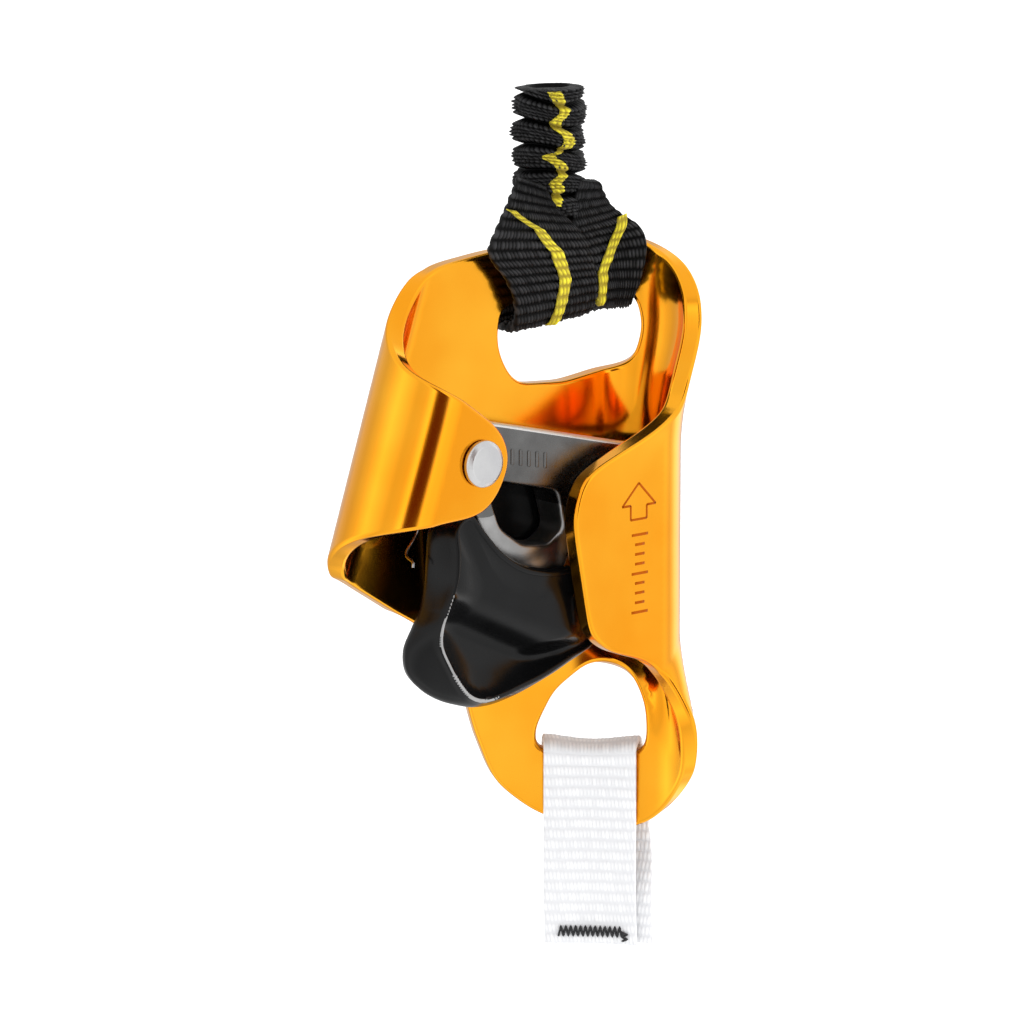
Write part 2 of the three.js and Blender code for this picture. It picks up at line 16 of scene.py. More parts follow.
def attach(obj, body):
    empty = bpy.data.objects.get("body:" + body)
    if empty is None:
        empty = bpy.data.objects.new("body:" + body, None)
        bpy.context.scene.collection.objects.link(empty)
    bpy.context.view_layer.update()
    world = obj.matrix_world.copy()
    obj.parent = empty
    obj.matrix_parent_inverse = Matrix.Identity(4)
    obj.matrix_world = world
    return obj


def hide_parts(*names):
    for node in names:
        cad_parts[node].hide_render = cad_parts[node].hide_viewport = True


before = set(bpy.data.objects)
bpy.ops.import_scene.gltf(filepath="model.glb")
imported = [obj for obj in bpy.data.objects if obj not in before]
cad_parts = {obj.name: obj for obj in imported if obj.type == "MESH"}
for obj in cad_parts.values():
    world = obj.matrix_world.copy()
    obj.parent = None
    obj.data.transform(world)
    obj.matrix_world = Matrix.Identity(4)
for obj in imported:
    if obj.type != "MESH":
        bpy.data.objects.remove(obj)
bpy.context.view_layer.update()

MM = 0.001
ORIGIN = np.array([31.2, 1.7, 61.0])  # the row's origin, in drawn millimetres

# ---- driving dimensions, the same as the CAD model's ----
SHEET = 3.4
FOLD_R = 6.5
GAP = 0.3
LEFT_BEND_X = -7.4
LEFT_SLANT = math.radians(18.7)
RIGHT_BEND_X = 42.2
TOP_X, TOP_R, TOP_FROM, TOP_TO = 41.5, 9.0, -4.0, 20.0
TAB_X, TAB_Y, TAB_U, TAB_R = 37.2, -3.0, 38.0, 60.0
LIP_U, LIP_R = 50.0, 8.0
TAB_HEADING = math.radians(-46)
TAB_FROM, TAB_TO, TAB_LAG, TAB_LAG_FROM = -28.0, -56.0, 1.1, 49.0
RIVET_R = 2.5
CAM_FRONT, CAM_REAR = -10.4, -3.2
PIN_X, PIN_Z, PIN_R = 17.0, -24.4, 1.5
EYE_TOP, LOWER_EYE = 23.4, -59.5
WEB_T, STRAP_T = 1.5, 2.2
TUBE_X, TUBE_Y, TUBE_BOTTOM, TUBE_TOP = 31.2, 1.7, 38.0, 61.0
TUBE_PITCH, TUBE_SQUASH = 4.2, 0.8
LINER_X, LINER_Z, LINER_T = 40.6, (-7.4, -24), 0.6
WEB_END = -94.8


# ---- numbers and outlines ----
def unit(v):
    return v / np.maximum(np.linalg.norm(v, axis=-1, keepdims=True), 1e-12)


def smoothstep(x, a, b):
    t = np.clip((x - a) / (b - a), 0, 1)
    return t * t * (3 - 2 * t)


def hash01(a, b):
    """A repeatable pseudo-random number from 0 to 1 for each pair of whole numbers."""
    return np.abs(np.sin(a * 12.9898 + b * 78.233) * 43758.5453) % 1.0


def rounded(corners, per=8):
    """A closed outline whose corners (x, z, radius) are rounded."""
    p = np.array([c[:2] for c in corners], float)
    r = np.array([c[2] if len(c) > 2 else 0.0 for c in corners])
    out = []
    for i in range(len(p)):
        a, b = p[i - 1] - p[i], p[(i + 1) % len(p)] - p[i]
        la, lb = np.linalg.norm(a), np.linalg.norm(b)
        half = math.acos(np.clip(a @ b / (la * lb), -1, 1)) / 2
        reach = min(r[i] / max(math.tan(half), 1e-6), 0.48 * la, 0.48 * lb)
        if reach < 1e-6:
            out.append(p[i])
            continue
        s, e = p[i] + a / la * reach, p[i] + b / lb * reach
        for t in np.linspace(0, 1, per + 1):
            out.append((1 - t) ** 2 * s + 2 * t * (1 - t) * p[i] + t * t * e)
    return np.array(out)


def full_turn(count):
    return np.linspace(0, 2 * math.pi, count, endpoint=False)


def circle(x, z, r, count=48):
    a = full_turn(count)
    return np.stack([x + r * np.cos(a), z + r * np.sin(a)], 1)


def quad_curve(a, b, c, count):
    """Points after a on the curve from a to c that bends towards b."""
    t = np.linspace(0, 1, count)[1:, None]
    a, b, c = (np.array(q, float) for q in (a, b, c))
    return ((1 - t) ** 2 * a + 2 * t * (1 - t) * b + t * t * c).tolist()


def resampled(loop, pitch, clockwise=False):
    """The closed outline with its long sides divided, turning the stated way."""
    area = np.sum(loop[:, 0] * np.roll(loop[:, 1], -1) - np.roll(loop[:, 0], -1) * loop[:, 1])
    if (area < 0) != clockwise:
        loop = loop[::-1]
    out = []
    for a, b in zip(loop, np.roll(loop, -1, axis=0)):
        length = np.linalg.norm(b - a)
        if length < 0.02:
            continue
        n = max(1, round(length / pitch))
        out += [a + (b - a) * k / n for k in range(n)]
    return np.array(out)


def softened(loop, sigma, keeps=(), pitch=0.35):
    """The outline with its corners blended over sigma, except within a radius of the kept ones."""
    even = resampled(loop, pitch)
    size = np.linalg.norm(np.roll(even, -1, axis=0) - even, axis=1)
    along = np.concatenate([[0], np.cumsum(size)])
    count = int(along[-1] / pitch)
    at = np.linspace(0, along[-1], count, endpoint=False)
    closed = np.concatenate([even, even[:1]])
    even = np.stack([np.interp(at, along, closed[:, k]) for k in (0, 1)], 1)
    reach = np.minimum(np.arange(count), count - np.arange(count)) * pitch
    weight = np.exp(-0.5 * (reach / sigma) ** 2)
    blur = np.fft.fft(weight / weight.sum())[:, None]
    smooth = np.real(np.fft.ifft(np.fft.fft(even, axis=0) * blur, axis=0))
    share = np.ones(count)
    for x, z, r in keeps:
        share *= smoothstep(np.hypot(even[:, 0] - x, even[:, 1] - z), r * 0.4, r)
    return even + (smooth - even) * share[:, None]


def outward(loop):
    """Unit direction away from the material at each point of an outline, and its mitre."""
    d = unit(np.roll(loop, -1, axis=0) - loop)
    n = np.stack([d[:, 1], -d[:, 0]], 1)
    before = np.roll(n, 1, axis=0)
    mean = unit(n + before)
    return mean, 1 / np.clip(np.sum(mean * n, 1), 0.6, 1)


def inside(points, loops):
    """Whether each point lies inside an odd number of the outlines."""
    odd = np.zeros(len(points), bool)
    x, z = points[:, 0], points[:, 1]
    for loop in loops:
        for a, b in zip(loop, np.roll(loop, -1, axis=0)):
            if a[1] == b[1]:
                continue
            hit = (a[1] > z) != (b[1] > z)
            odd ^= hit & (x < a[0] + (z - a[1]) * (b[0] - a[0]) / (b[1] - a[1]))
    return odd


def nearest(points, others):
    """Distance from each point to the nearest of the others."""
    found = np.full(len(points), np.inf)
    for other in others:
        found = np.minimum(found, np.linalg.norm(points - other, axis=1))
    return found


def catmull(points, t):
    """Centripetal Catmull-Rom through points (n, rows, 3) at the shares t: (len(t), rows, 3)."""
    p = np.asarray(points, float)
    p = np.concatenate([2 * p[:1] - p[1:2], p, 2 * p[-1:] - p[-2:-1]])
    n = len(p) - 3
    x = np.clip(np.asarray(t, float), 0, 1) * n
    i = np.minimum(x.astype(int), n - 1)
    f = (x - i)[:, None, None]
    p0, p1, p2, p3 = p[i], p[i + 1], p[i + 2], p[i + 3]
    step = [np.maximum(np.linalg.norm(b - a, axis=-1, keepdims=True) ** 0.5, 1e-2)
            for a, b in ((p0, p1), (p1, p2), (p2, p3))]
    m1 = ((p1 - p0) / step[0] - (p2 - p0) / (step[0] + step[1]) + (p2 - p1) / step[1]) * step[1]
    m2 = ((p2 - p1) / step[1] - (p3 - p1) / (step[1] + step[2]) + (p3 - p2) / step[2]) * step[1]
    return (p1 + m1 * f + (3 * (p2 - p1) - 2 * m1 - m2) * f ** 2
            + (2 * (p1 - p2) + m1 + m2) * f ** 3)


# ---- the folded sheet ----
def rolled(u, start, r):
    """X and Y of a sheet that lies flat up to start and then curls forward at radius r."""
    run = np.maximum(u - start, 0)
    angle = np.minimum(run / r, math.pi)
    rest = run - angle * r
    out = r * np.sin(angle) + rest * np.cos(angle)
    return np.where(u > start, start + out, u), -r * (1 - np.cos(angle))


def folded(u, v):
    """Inner surface of the folded sheet, from its flat pattern position."""
    run = -(u - LEFT_BEND_X) * math.cos(LEFT_SLANT) + v * math.sin(LEFT_SLANT)
    pos = np.maximum(run, 0)
    angle = np.minimum(pos / FOLD_R, math.pi)
    out = FOLD_R * np.sin(angle) + (pos - angle * FOLD_R) * np.cos(angle)
    left = np.stack([u + (pos - out) * math.cos(LEFT_SLANT), -FOLD_R * (1 - np.cos(angle)),
                     v - (pos - out) * math.sin(LEFT_SLANT)], -1)
    top = smoothstep(v, TOP_FROM, TOP_TO)
    low = smoothstep(-(v + TAB_LAG * np.maximum(u - TAB_LAG_FROM, 0)), -TAB_FROM, -TAB_TO)
    channel = rolled(u, RIGHT_BEND_X, FOLD_R)
    flare = rolled(u, TOP_X, TOP_R)
    turn = TAB_HEADING - (np.minimum(u, LIP_U) - TAB_U) / TAB_R
    lip = turn - np.maximum(u - LIP_U, 0) / LIP_R
    tab_x = TAB_X - (np.sin(turn) - math.sin(TAB_HEADING)) * TAB_R
    tab_y = TAB_Y + (np.cos(turn) - math.cos(TAB_HEADING)) * TAB_R
    tab = (tab_x - (np.sin(lip) - np.sin(turn)) * LIP_R,
           tab_y + (np.cos(lip) - np.cos(turn)) * LIP_R)
    x, y = (channel[k] * (1 - top - low) + flare[k] * top + tab[k] * low for k in (0, 1))
    return np.where((run > 0)[..., None], left, np.stack([x, y, v], -1))


def frame_axes(place, u, v, w):
    """Unit directions of growing u, of growing v and into the sheet."""
    e = 0.02
    du = place(u + e, v, w) - place(u - e, v, w)
    dv = place(u, v + e, w) - place(u, v - e, w)
    return unit(du), unit(dv), unit(np.cross(dv, du))


def on_sheet(u, v, w):
    """Point at depth w behind the inner surface."""
    u, v = np.asarray(u, float), np.asarray(v, float)
    back = frame_axes(lambda u, v, w: folded(u, v), u, v, w)[2]
    return folded(u, v) + back * np.asarray(w, float)[..., None]


def left_flap(x, z):
    """Flat pattern position of a point of the left flap, from where it is seen."""
    run = -(x - LEFT_BEND_X) * math.cos(LEFT_SLANT) + z * math.sin(LEFT_SLANT)
    shift = math.pi * FOLD_R - 2 * run
    return np.stack([x - shift * math.cos(LEFT_SLANT), z + shift * math.sin(LEFT_SLANT)], -1)


def right_flap_u(x):
    return 2 * RIGHT_BEND_X + math.pi * FOLD_R - x


# ---- mesh makers ----
def placed(name, data):
    obj = bpy.data.objects.new(name, data)
    bpy.context.scene.collection.objects.link(obj)
    return obj


def piece(name, shape, shader, replaced, slot, body="frame_body", sharp=None):
    """A piece from a shape in drawn millimetres: its points, its faces and, where it has them,
    its exact normals or the height of its weave at each point."""
    verts, faces, *detail = shape
    detail = detail[0] if detail else {}
    mesh = bpy.data.meshes.new(name)
    mesh.from_pydata(((np.asarray(verts, float) - ORIGIN) * MM).tolist(), [], faces)
    work = bmesh.new()
    work.from_mesh(mesh)
    bmesh.ops.recalc_face_normals(work, faces=work.faces)
    work.to_mesh(mesh)
    work.free()
    mesh.shade_smooth()
    if "relief" in detail:
        layer = mesh.attributes.new("relief", "FLOAT", "POINT")
        layer.data.foreach_set("value", detail["relief"].astype(np.float32).ravel())
    if sharp is not None:
        mesh.set_sharp_from_angle(angle=math.radians(sharp))
    if "normals" in detail:
        mesh.normals_split_custom_set_from_vertices(detail["normals"].tolist())
    mesh.materials.append(shader)
    obj = placed(name, mesh)
    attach(obj, body)
    if replaced:
        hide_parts(*replaced)
    return obj


def reface(obj, shader, chosen):
    """Gives the faces picked by chosen(centres, normals) their own shader."""
    mesh = obj.data
    mesh.materials.append(shader)
    count = len(mesh.polygons)
    centre, normal = np.empty(3 * count), np.empty(3 * count)
    mesh.polygons.foreach_get("center", centre)
    mesh.polygons.foreach_get("normal", normal)
    index = np.zeros(count, np.int32)
    mesh.polygons.foreach_get("material_index", index)
    centre = centre.reshape(-1, 3) / MM + ORIGIN
    index[chosen(centre, normal.reshape(-1, 3))] = len(mesh.materials) - 1
    mesh.polygons.foreach_set("material_index", index)


def flat_cap(loops, pitch):
    """Points and triangles of a flat area inside loops, on an even grid."""
    edge_points = np.concatenate(loops)
    low, high = edge_points.min(0), edge_points.max(0)
    rows = []
    for k, z in enumerate(np.arange(low[1] + 0.01, high[1], pitch * 0.866)):
        x = np.arange(low[0] + (k % 2) * pitch / 2, high[0], pitch)
        rows.append(np.stack([x, np.full_like(x, z)], 1))
    grid = np.concatenate(rows)
    grid = grid[inside(grid, loops)]
    grid = grid[nearest(grid, edge_points) > 0.55 * pitch]
    points = np.concatenate([edge_points, grid])
    edges, start = [], 0
    for loop in loops:
        n = len(loop)
        edges += [(start + i, start + (i + 1) % n) for i in range(n)]
        start += n
    found = delaunay_2d_cdt([Vector(p) for p in points], edges, [], 0, 1e-5)
    back = [olds[-1] if olds else -1 for olds in found[3]]
    tris = np.array([[back[i] for i in f] for f in found[2]])
    tris = tris[(tris >= 0).all(1)]
    tris = tris[inside(points[tris].mean(1), loops)]
    return points, tris


def plate(place, outer, holes, thick, edge, pitch, edge_pitch=None, steps=4):
    """A plate with rounded edges: its points, faces and exact normals. place(u, v, w) says where
    a point of the flat outline lies, w being the depth behind the front face."""
    loops = [resampled(outer, edge_pitch or pitch)]
    loops += [resampled(h, edge_pitch or pitch, clockwise=True) for h in holes]
    ways = [outward(loop) for loop in loops]
    inset = [p - n * (edge * m)[:, None] for p, (n, m) in zip(loops, ways)]
    cap, tris = flat_cap(inset, pitch)
    quarter = np.linspace(0, math.pi / 2, steps + 1)
    profile = [(math.sin(a), edge * (1 - math.cos(a)), a, -1) for a in quarter]
    profile += [(s, thick - w, a, 1) for s, w, a, _ in reversed(profile)]
    # Each ring holds its flat points, depth, direction away, tilt of its normals and its side.
    rings = [(cap, 0, 0 * cap, 0, -1), (cap, thick, 0 * cap, 0, 1)]
    faces = [tuple(t) for t in tris] + [tuple(t[::-1] + len(cap)) for t in tris]
    count, start = 2 * len(cap), 0
    for loop, (n, m) in zip(loops, ways):
        size = len(loop)
        rows = [np.arange(start, start + size)]
        for s, depth, a, face in profile[1:-1]:
            rings.append((loop - n * (edge * m * (1 - s))[:, None], depth, n, a, face))
            rows.append(np.arange(count, count + size))
            count += size
        rows.append(np.arange(start, start + size) + len(cap))
        for a, b in zip(rows, rows[1:]):
            for i in range(size):
                j = (i + 1) % size
                faces.append((a[i], b[i], b[j], a[j]))
        start += size
    uv, away = (np.concatenate([ring[k] for ring in rings]) for k in (0, 2))
    w, tilt, side = (np.concatenate([np.full(len(ring[0]), float(ring[k])) for ring in rings])
                     for k in (1, 3, 4))
    du, dv, back = frame_axes(place, uv[:, 0], uv[:, 1], w)
    along = du * -away[:, 1:] + dv * away[:, :1]
    out = unit(np.cross(along, back))
    out *= np.sign(np.sum(out * (du * away[:, :1] + dv * away[:, 1:]), 1, keepdims=True))
    normals = unit(out * np.sin(tilt)[:, None] + back * (side * np.cos(tilt))[:, None])
    faces = [tuple(int(i) for i in f) for f in faces]
    return place(uv[:, 0], uv[:, 1], w), faces, {"normals": normals}


def tube_faces(rows, columns):
    """Faces between closed rows of points."""
    faces = []
    for a in range(0, (rows - 1) * columns, columns):
        b = a + columns
        for j in range(columns):
            k = (j + 1) % columns
            faces.append((a + j, b + j, b + k, a + k))
    return faces


def capped(rows, columns):
    """Faces of a tube of closed rows, with a face over each end."""
    last = (rows - 1) * columns
    ends = [tuple(range(columns)), tuple(range(last, last + columns))]
    return tube_faces(rows, columns) + ends


def lathe(profile, x=0.0, z=0.0, segments=96):
    """A turned piece on the axis through x, z. Its profile (radius, y) runs from axis to axis."""
    a = full_turn(segments)
    verts = np.array([[x + r * c, y, z + r * s] for r, y in profile
                      for c, s in zip(np.cos(a), np.sin(a))])
    return verts, capped(len(profile), segments)


def turned_ring(profile, segments=96):
    """A turned piece with a hole; its profile (radius, y) is closed on itself."""
    verts, faces = lathe([*profile, profile[0]], segments=segments)
    count = len(verts) - segments
    return verts[:count], [tuple(i % count for i in f) for f in faces[:-2]]


def rounded_profile(corners, per=5):
    """A turning profile from axis to axis whose corners (radius, y, round) are rounded."""
    closed = rounded([*corners, (0, corners[-1][1] + 1, 0), (0, corners[0][1] - 1, 0)], per)
    return [(max(r, 0.02), y) for r, y in closed[:-2]]


def sweep(points, radius, sides=10):
    """A round wire or thread along a smooth path, with closed ends."""
    p = np.asarray(points, float)
    tangent = unit(np.gradient(p, axis=0))
    side = unit(np.cross(tangent[0], [0.31, 0.93, 0.2]))
    a = full_turn(sides)
    verts = []
    for q, t in zip(p, tangent):
        side = unit(side - t * (side @ t))
        other = np.cross(t, side)
        verts += [q + (side * c + other * s) * radius for c, s in zip(np.cos(a), np.sin(a))]
    return np.array(verts), capped(len(p), sides)


def joined(parts):
    verts, faces, start = [], [], 0
    for v, f in parts:
        verts.append(v)
        faces += [tuple(i + start for i in face) for face in f]
        start += len(v)
    return np.concatenate(verts), faces


# ---- weaving ----
def weave(s, t, rib, yarn, slant=0.35):
    """Height from 0 to 1 of a ribbed narrow weave, at s along it and t across it."""
    row = np.floor(s / rib)
    f = s / rib - row
    column = t / yarn + 0.5 * (row % 2) + slant * (f - 0.5)
    cell = np.floor(column + 0.5)
    bulge = np.abs(np.sin(math.pi * f)) ** 0.65
    float_ = np.abs(np.cos(math.pi * column)) ** 0.8
    wander = 0.8 + 0.4 * (hash01(row, cell) - 0.5)
    strands = 1 + 0.08 * np.cos(6 * math.pi * column)
    return bulge * (0.3 + 0.7 * float_) * wander * strands


def band(surface, width, length, thickness, rib, yarn, height, step=0.2, lift=0.0, edge=7.0):
    """A closed woven band about a surface(a, b), a being the share along it and b across."""
    n_across = max(4, int(width / step))
    a = np.linspace(0, 1, max(8, int(length / step)) + 1)
    share = (1 - np.cos(np.linspace(0, math.pi, n_across + 1))) / 2
    b = 0.25 * share + 0.75 * np.linspace(0, 1, n_across + 1)
    e = 1e-3
    mid = surface(a, b)
    da = unit(surface(np.clip(a + e, 0, 1), b) - surface(np.clip(a - e, 0, 1), b))
    db = unit(surface(a, b + e) - surface(a, b - e))
    out = -unit(np.cross(da, db))
    s = np.concatenate([[0], np.cumsum(np.linalg.norm(np.diff(mid[:, n_across // 2], axis=0),
                                                      axis=1))])
    wide = (1 - np.abs(2 * b - 1) ** edge) ** (1 / edge)
    s2, t2 = np.meshgrid(s, b * width, indexing="ij")
    front = weave(s2, t2, rib, yarn)
    rear = weave(s2 + rib / 2, t2 + yarn / 3, rib, yarn)
    half = thickness / 2 * wide[None, :]
    top = mid + out * (lift + half + height * (front - 0.4) * wide)[..., None]
    low = mid + out * (lift - half - height * (rear - 0.4) * wide)[..., None]
    ring = np.concatenate([top, low[:, -2:0:-1]], 1)
    relief = np.concatenate([front, rear[:, -2:0:-1]], 1)
    columns = ring.shape[1]
    verts = ring.reshape(-1, 3)
    faces = tube_faces(len(a), columns)
    last = len(verts) - columns
    for base in (0, last):
        for j in range(n_across):
            p, q = base + j, base + j + 1
            r = base + (columns - j) % columns
            t = base + (columns - j - 1) % columns
            faces.append(tuple(dict.fromkeys((p, q, t, r))))
    return verts, faces, {"relief": relief}


def through(stations):
    """A surface through stations, each a row of three points across the webbing."""
    stations = np.array(stations)

    def surface(a, b):
        rails = catmull(stations, a)
        return catmull(np.swapaxes(rails, 0, 1), b).swapaxes(0, 1)
    return surface


def station(u0, u1, v0, v1, w):
    t = np.array([0, 0.5, 1])
    return on_sheet(u0 + (u1 - u0) * t, v0 + (v1 - v0) * t, np.full(3, w))


# ---- materials ----
class Graph:
    """The shader nodes of a material or a world."""

    def __init__(self, owner):
        owner.use_nodes = True
        self.nodes, self.links = owner.node_tree.nodes, owner.node_tree.links

    def feed(self, node, inputs):
        """Sets a node's inputs to numbers, or links them where the value is a socket."""
        for key, value in inputs.items():
            if isinstance(value, bpy.types.NodeSocket):
                self.links.new(value, node.inputs[key])
            else:
                node.inputs[key].default_value = value

    def add(self, kind, inputs, **settings):
        node = self.nodes.new("ShaderNode" + kind)
        for key, value in settings.items():
            setattr(node, key, value)
        self.feed(node, inputs)
        return node.outputs

    def maths(self, operation, a, b):
        return self.add("Math", {0: a, 1: b}, operation=operation)[0]

    def noise(self, scale, detail=3.0, rough=0.55):
        """Noise with so many waves in a metre, in all directions or in x, y and z."""
        where = self.add("TexCoord", {})["Object"]
        scaled = self.add("Mapping", {"Vector": where, "Scale": np.broadcast_to(scale, 3)})[0]
        return self.add("TexNoise", {"Vector": scaled, "Scale": 1.0, "Detail": detail,
                                     "Roughness": rough})["Fac"]

    def spread(self, value, low, high, from_low=0.3, from_high=0.7):
        return self.add("MapRange", {"Value": value, "From Min": from_low, "From Max": from_high,
                                     "To Min": low, "To Max": high})["Result"]

    def ramp(self, value, stops):
        """A colour that follows value through stops of (position, colour or grey level)."""
        outputs = self.add("ValToRGB", {"Fac": value})
        elements = self.nodes[-1].color_ramp.elements
        while len(elements) < len(stops):
            elements.new(0.5)
        for element, (position, colour) in zip(elements, stops):
            element.position = position
            element.color = (*np.broadcast_to(colour, 3), 1)
        return outputs["Color"]

    def mix(self, share, a, b):
        return self.add("Mix", {0: share, 6: a, 7: b}, data_type="RGBA")[2]

    def bump(self, height, strength, distance, **inputs):
        return self.add("Bump", {"Height": height, "Strength": strength, "Distance": distance,
                                 **inputs})["Normal"]


def material(name, look, **sockets):
    """A material whose shader takes the inputs that look makes, and the sockets given."""
    mat = bpy.data.materials.new(name)
    graph = Graph(mat)
    fixed = {key.replace("_", " "): value for key, value in sockets.items()}
    graph.feed(graph.nodes["Principled BSDF"], fixed | look(graph))
    return mat


def anodised_look(graph):
    cloud = graph.noise(34)
    grain = graph.noise((5200, 5200, 900), 2)
    pressed = graph.bump(graph.noise(26, 1, 0.4), 0.5, 0.0022)
    colour = graph.ramp(cloud, [(0.32, (0.95, 0.345, 0.006)), (0.66, (1.0, 0.455, 0.022))])
    return {"Base Color": colour, "Roughness": graph.spread(cloud, 0.13, 0.19),
            "Normal": graph.bump(grain, 0.06, 0.00003, Normal=pressed)}


def steel_look(light, dark, rough_low, rough_high, grain_scale, strength):
    """Clouded metal with a grain that sets its roughness."""
    def build(graph):
        grain = graph.noise(grain_scale)
        colour = graph.ramp(graph.noise(160, 5), [(0.3, dark), (0.7, light)])
        return {"Base Color": colour, "Roughness": graph.spread(grain, rough_low, rough_high),
                "Normal": graph.bump(grain, strength, 0.00004)}
    return build


def nylon_look(graph):
    cloud = graph.noise(90)
    skin = graph.noise(4200, 2)
    colour = graph.ramp(cloud, [(0.3, (0.0022, 0.0023, 0.0025)), (0.7, (0.0035, 0.0037, 0.004))])
    return {"Base Color": colour, "Roughness": graph.spread(cloud, 0.2, 0.26),
            "Normal": graph.bump(skin, 0.12, 0.00004)}


def yarn_look(valley_shade, crest, fibre, strength):
    """Cloth with painted shade in the valleys of its weave and a painted highlight on its crests,
    the colour following the weave's height, with fine fibres.
    """
    def build(graph):
        height = graph.add("Attribute", {}, attribute_name="relief")["Fac"]
        fine = graph.noise((fibre, fibre, fibre * 0.3), 3, 0.6)
        return {"Base Color": graph.ramp(height, [(0.3, valley_shade), (0.85, crest)]),
                "Roughness": graph.spread(fine, 0.42, 0.7),
                "Normal": graph.bump(fine, strength, 0.00008)}
    return build


anodised = material("anodised_gold", anodised_look, Metallic=1.0, Coat_Weight=0.12,
                    Coat_Roughness=0.12, Coat_IOR=1.6)
cam_steel, top_highlight_steel, arm_painted_light, bright, spring_steel, liner_steel, etched = (
    material(name, steel_look(*look), Metallic=1.0) for name, *look in [
        ("cam_steel", (0.17, 0.169, 0.167), (0.11, 0.109, 0.108), 0.24, 0.34, 2600, 0.2),
        # Painted highlight: a bright copy of the cam steel for the cam's faces that face up.
        ("painted_top_highlight", (0.85, 0.85, 0.84), 0.72, 0.38, 0.5, (2600, 2600, 900), 0.1),
        # Painted light: a lighter copy of the cam steel for where the arm looks lit.
        ("arm_painted_light", (0.4, 0.398, 0.395), (0.28, 0.278, 0.275), 0.3, 0.4, 2600, 0.2),
        ("rivet_steel", 0.66, (0.56, 0.56, 0.57), 0.26, 0.38, (700, 2600, 2600), 0.15),
        ("spring_steel", (0.4, 0.41, 0.42), (0.28, 0.29, 0.3), 0.2, 0.35, 900, 0.1),
        ("liner_steel", 0.5, 0.38, 0.25, 0.4, (300, 300, 3000), 0.2),
        ("etched_mark", (0.62, 0.14, 0.006), (0.5, 0.1, 0.004), 0.45, 0.6, 3000, 0.3)])
nylon = material("black_nylon", nylon_look, Specular_IOR_Level=0.2)
# Painted highlight: a light grey line laid on the crest of the catch's black rim.
rim_painted_highlight = material("rim_painted_highlight", steel_look(0.34, 0.24, 0.3, 0.4, 2600, 0.1))
# Each cloth's first colour is painted shade for the weave's valleys, and its second is a painted
# highlight for the crests.
black_yarn = material("black_webbing", yarn_look((0.0002, 0.0002, 0.0003), (0.04, 0.04, 0.042),
                                                 5200, 0.35), Specular_IOR_Level=0.15)
yellow = material("yellow_yarn", yarn_look((0.33, 0.25, 0.0), (0.9, 0.78, 0.02), 5200, 0.3),
                  Sheen_Weight=0.1)
white_yarn = material("white_webbing", yarn_look((0.7, 0.71, 0.73), (0.86, 0.865, 0.875),
                                                 5200, 0.3), Sheen_Weight=0.15)
thread = material("black_thread", yarn_look((0.004, 0.004, 0.005), (0.012, 0.012, 0.014),
                                            6000, 0.4))
rubber = material("elastic_core", yarn_look(0.01, 0.02, 1500, 0.4))


# ---- folded frame ----
def build_frame():
    outer = softened(rounded([
        (17, 33.2, 14), (48, 33.6, 10), (56, 29, 8), (62.8, 21, 8), (61.2, 12, 8), (59.4, 5, 6),
        (66.5, 0.6, 8), (81.5, -6, 4), (83.6, -13, 5), (79.5, -34.3, 3.5), (75, -37.8, 6),
        (64.5, -41.2, 8), (61, -45.5, 6), (57.8, -54, 8), (55.5, -63, 10), (50, -72, 8),
        (40, -75, 10), (28, -71, 9), (20.5, -65, 9), (16.5, -54, 8), (11.5, -39, 9),
        (-17.4, -20.6, 2.2), (-23.4, -10.8, 8), (-31, -2.4, 8), (-40.2, 5, 8), (-38.6, 15.6, 7),
        (-33, 18.2, 5), (-14, 17.6, 9), (-5, 24, 9), (2.5, 31.6, 9)], 12),
        2.2, [(-17, -19.5, 3), (11.5, -39, 3)])
    upper_eye = softened(rounded([
        (18.8, EYE_TOP, 3), (17.8, 16, 9), (22, 9, 6), (34, 8.2, 9), (48.2, 10, 4), (49.8, 17, 4),
        (48.6, EYE_TOP, 3)], 12), 1.5)
    lower_eye = softened(rounded([
        (28, -55.5, 4), (31.4, -48.2, 6), (38.4, -43, 7), (46, -43.6, 6), (48, -50.5, 6),
        (48, LOWER_EYE, 2.5), (28, LOWER_EYE, 2.5)], 12), 1.5)
    bore = circle(0, 0, RIVET_R + GAP)
    flap_bore = left_flap(bore[:, 0], bore[:, 1])
    liner_bores = [circle(LINER_X, z, 1.5, 28) for z in LINER_Z]
    holes = [upper_eye, lower_eye, bore, flap_bore, *liner_bores]
    sheet = plate(on_sheet, outer, holes, SHEET, 0.75, 0.9, 0.6, 5)
    piece("frame_sheet", sheet, anodised, ["frame"], "anodised")


def build_marks():
    """A plain up arrow and a scale of bars, etched in the outer face of the channel flap."""
    def stroke(x0, z0, x1, z1, wide=0.42):
        n = max(3, int(math.hypot(x1 - x0, z1 - z0) / 0.5))
        t = np.linspace(0, 1, n)
        x, z = x0 + (x1 - x0) * t, z0 + (z1 - z0) * t
        d = unit(np.array([x1 - x0, z1 - z0], float)) * wide / 2
        rows = [(x + s * d[1], z - s * d[0], w) for s, w in
                ((-1, SHEET + 0.01), (-0.7, SHEET + 0.05), (0.7, SHEET + 0.05), (1, SHEET + 0.01))]
        under = [(x + s * d[1], z - s * d[0], SHEET - 0.05) for s in (1, -1)]
        rings = [on_sheet(right_flap_u(a), b, np.full(n, w)) for a, b, w in rows + under]
        return np.stack(rings, 1).reshape(-1, 3), capped(n, len(rings))

    arrow = [(36.5, -8.1), (32.6, -12.0), (34.6, -12.0), (34.6, -14.6), (38.4, -14.6),
             (38.4, -12.2), (40.5, -12.2), (36.5, -8.1)]
    strokes = [stroke(*a, *b) for a, b in zip(arrow, arrow[1:])]
    for k in range(9):
        z = -17.4 - 1.75 * k
        reach = 1.9 if k % 4 == 0 else 1.1
        strokes.append(stroke(36.8 - reach, z, 36.8 + reach, z, 0.5))
    piece("flap_marks", joined(strokes), etched, (), "anodised")


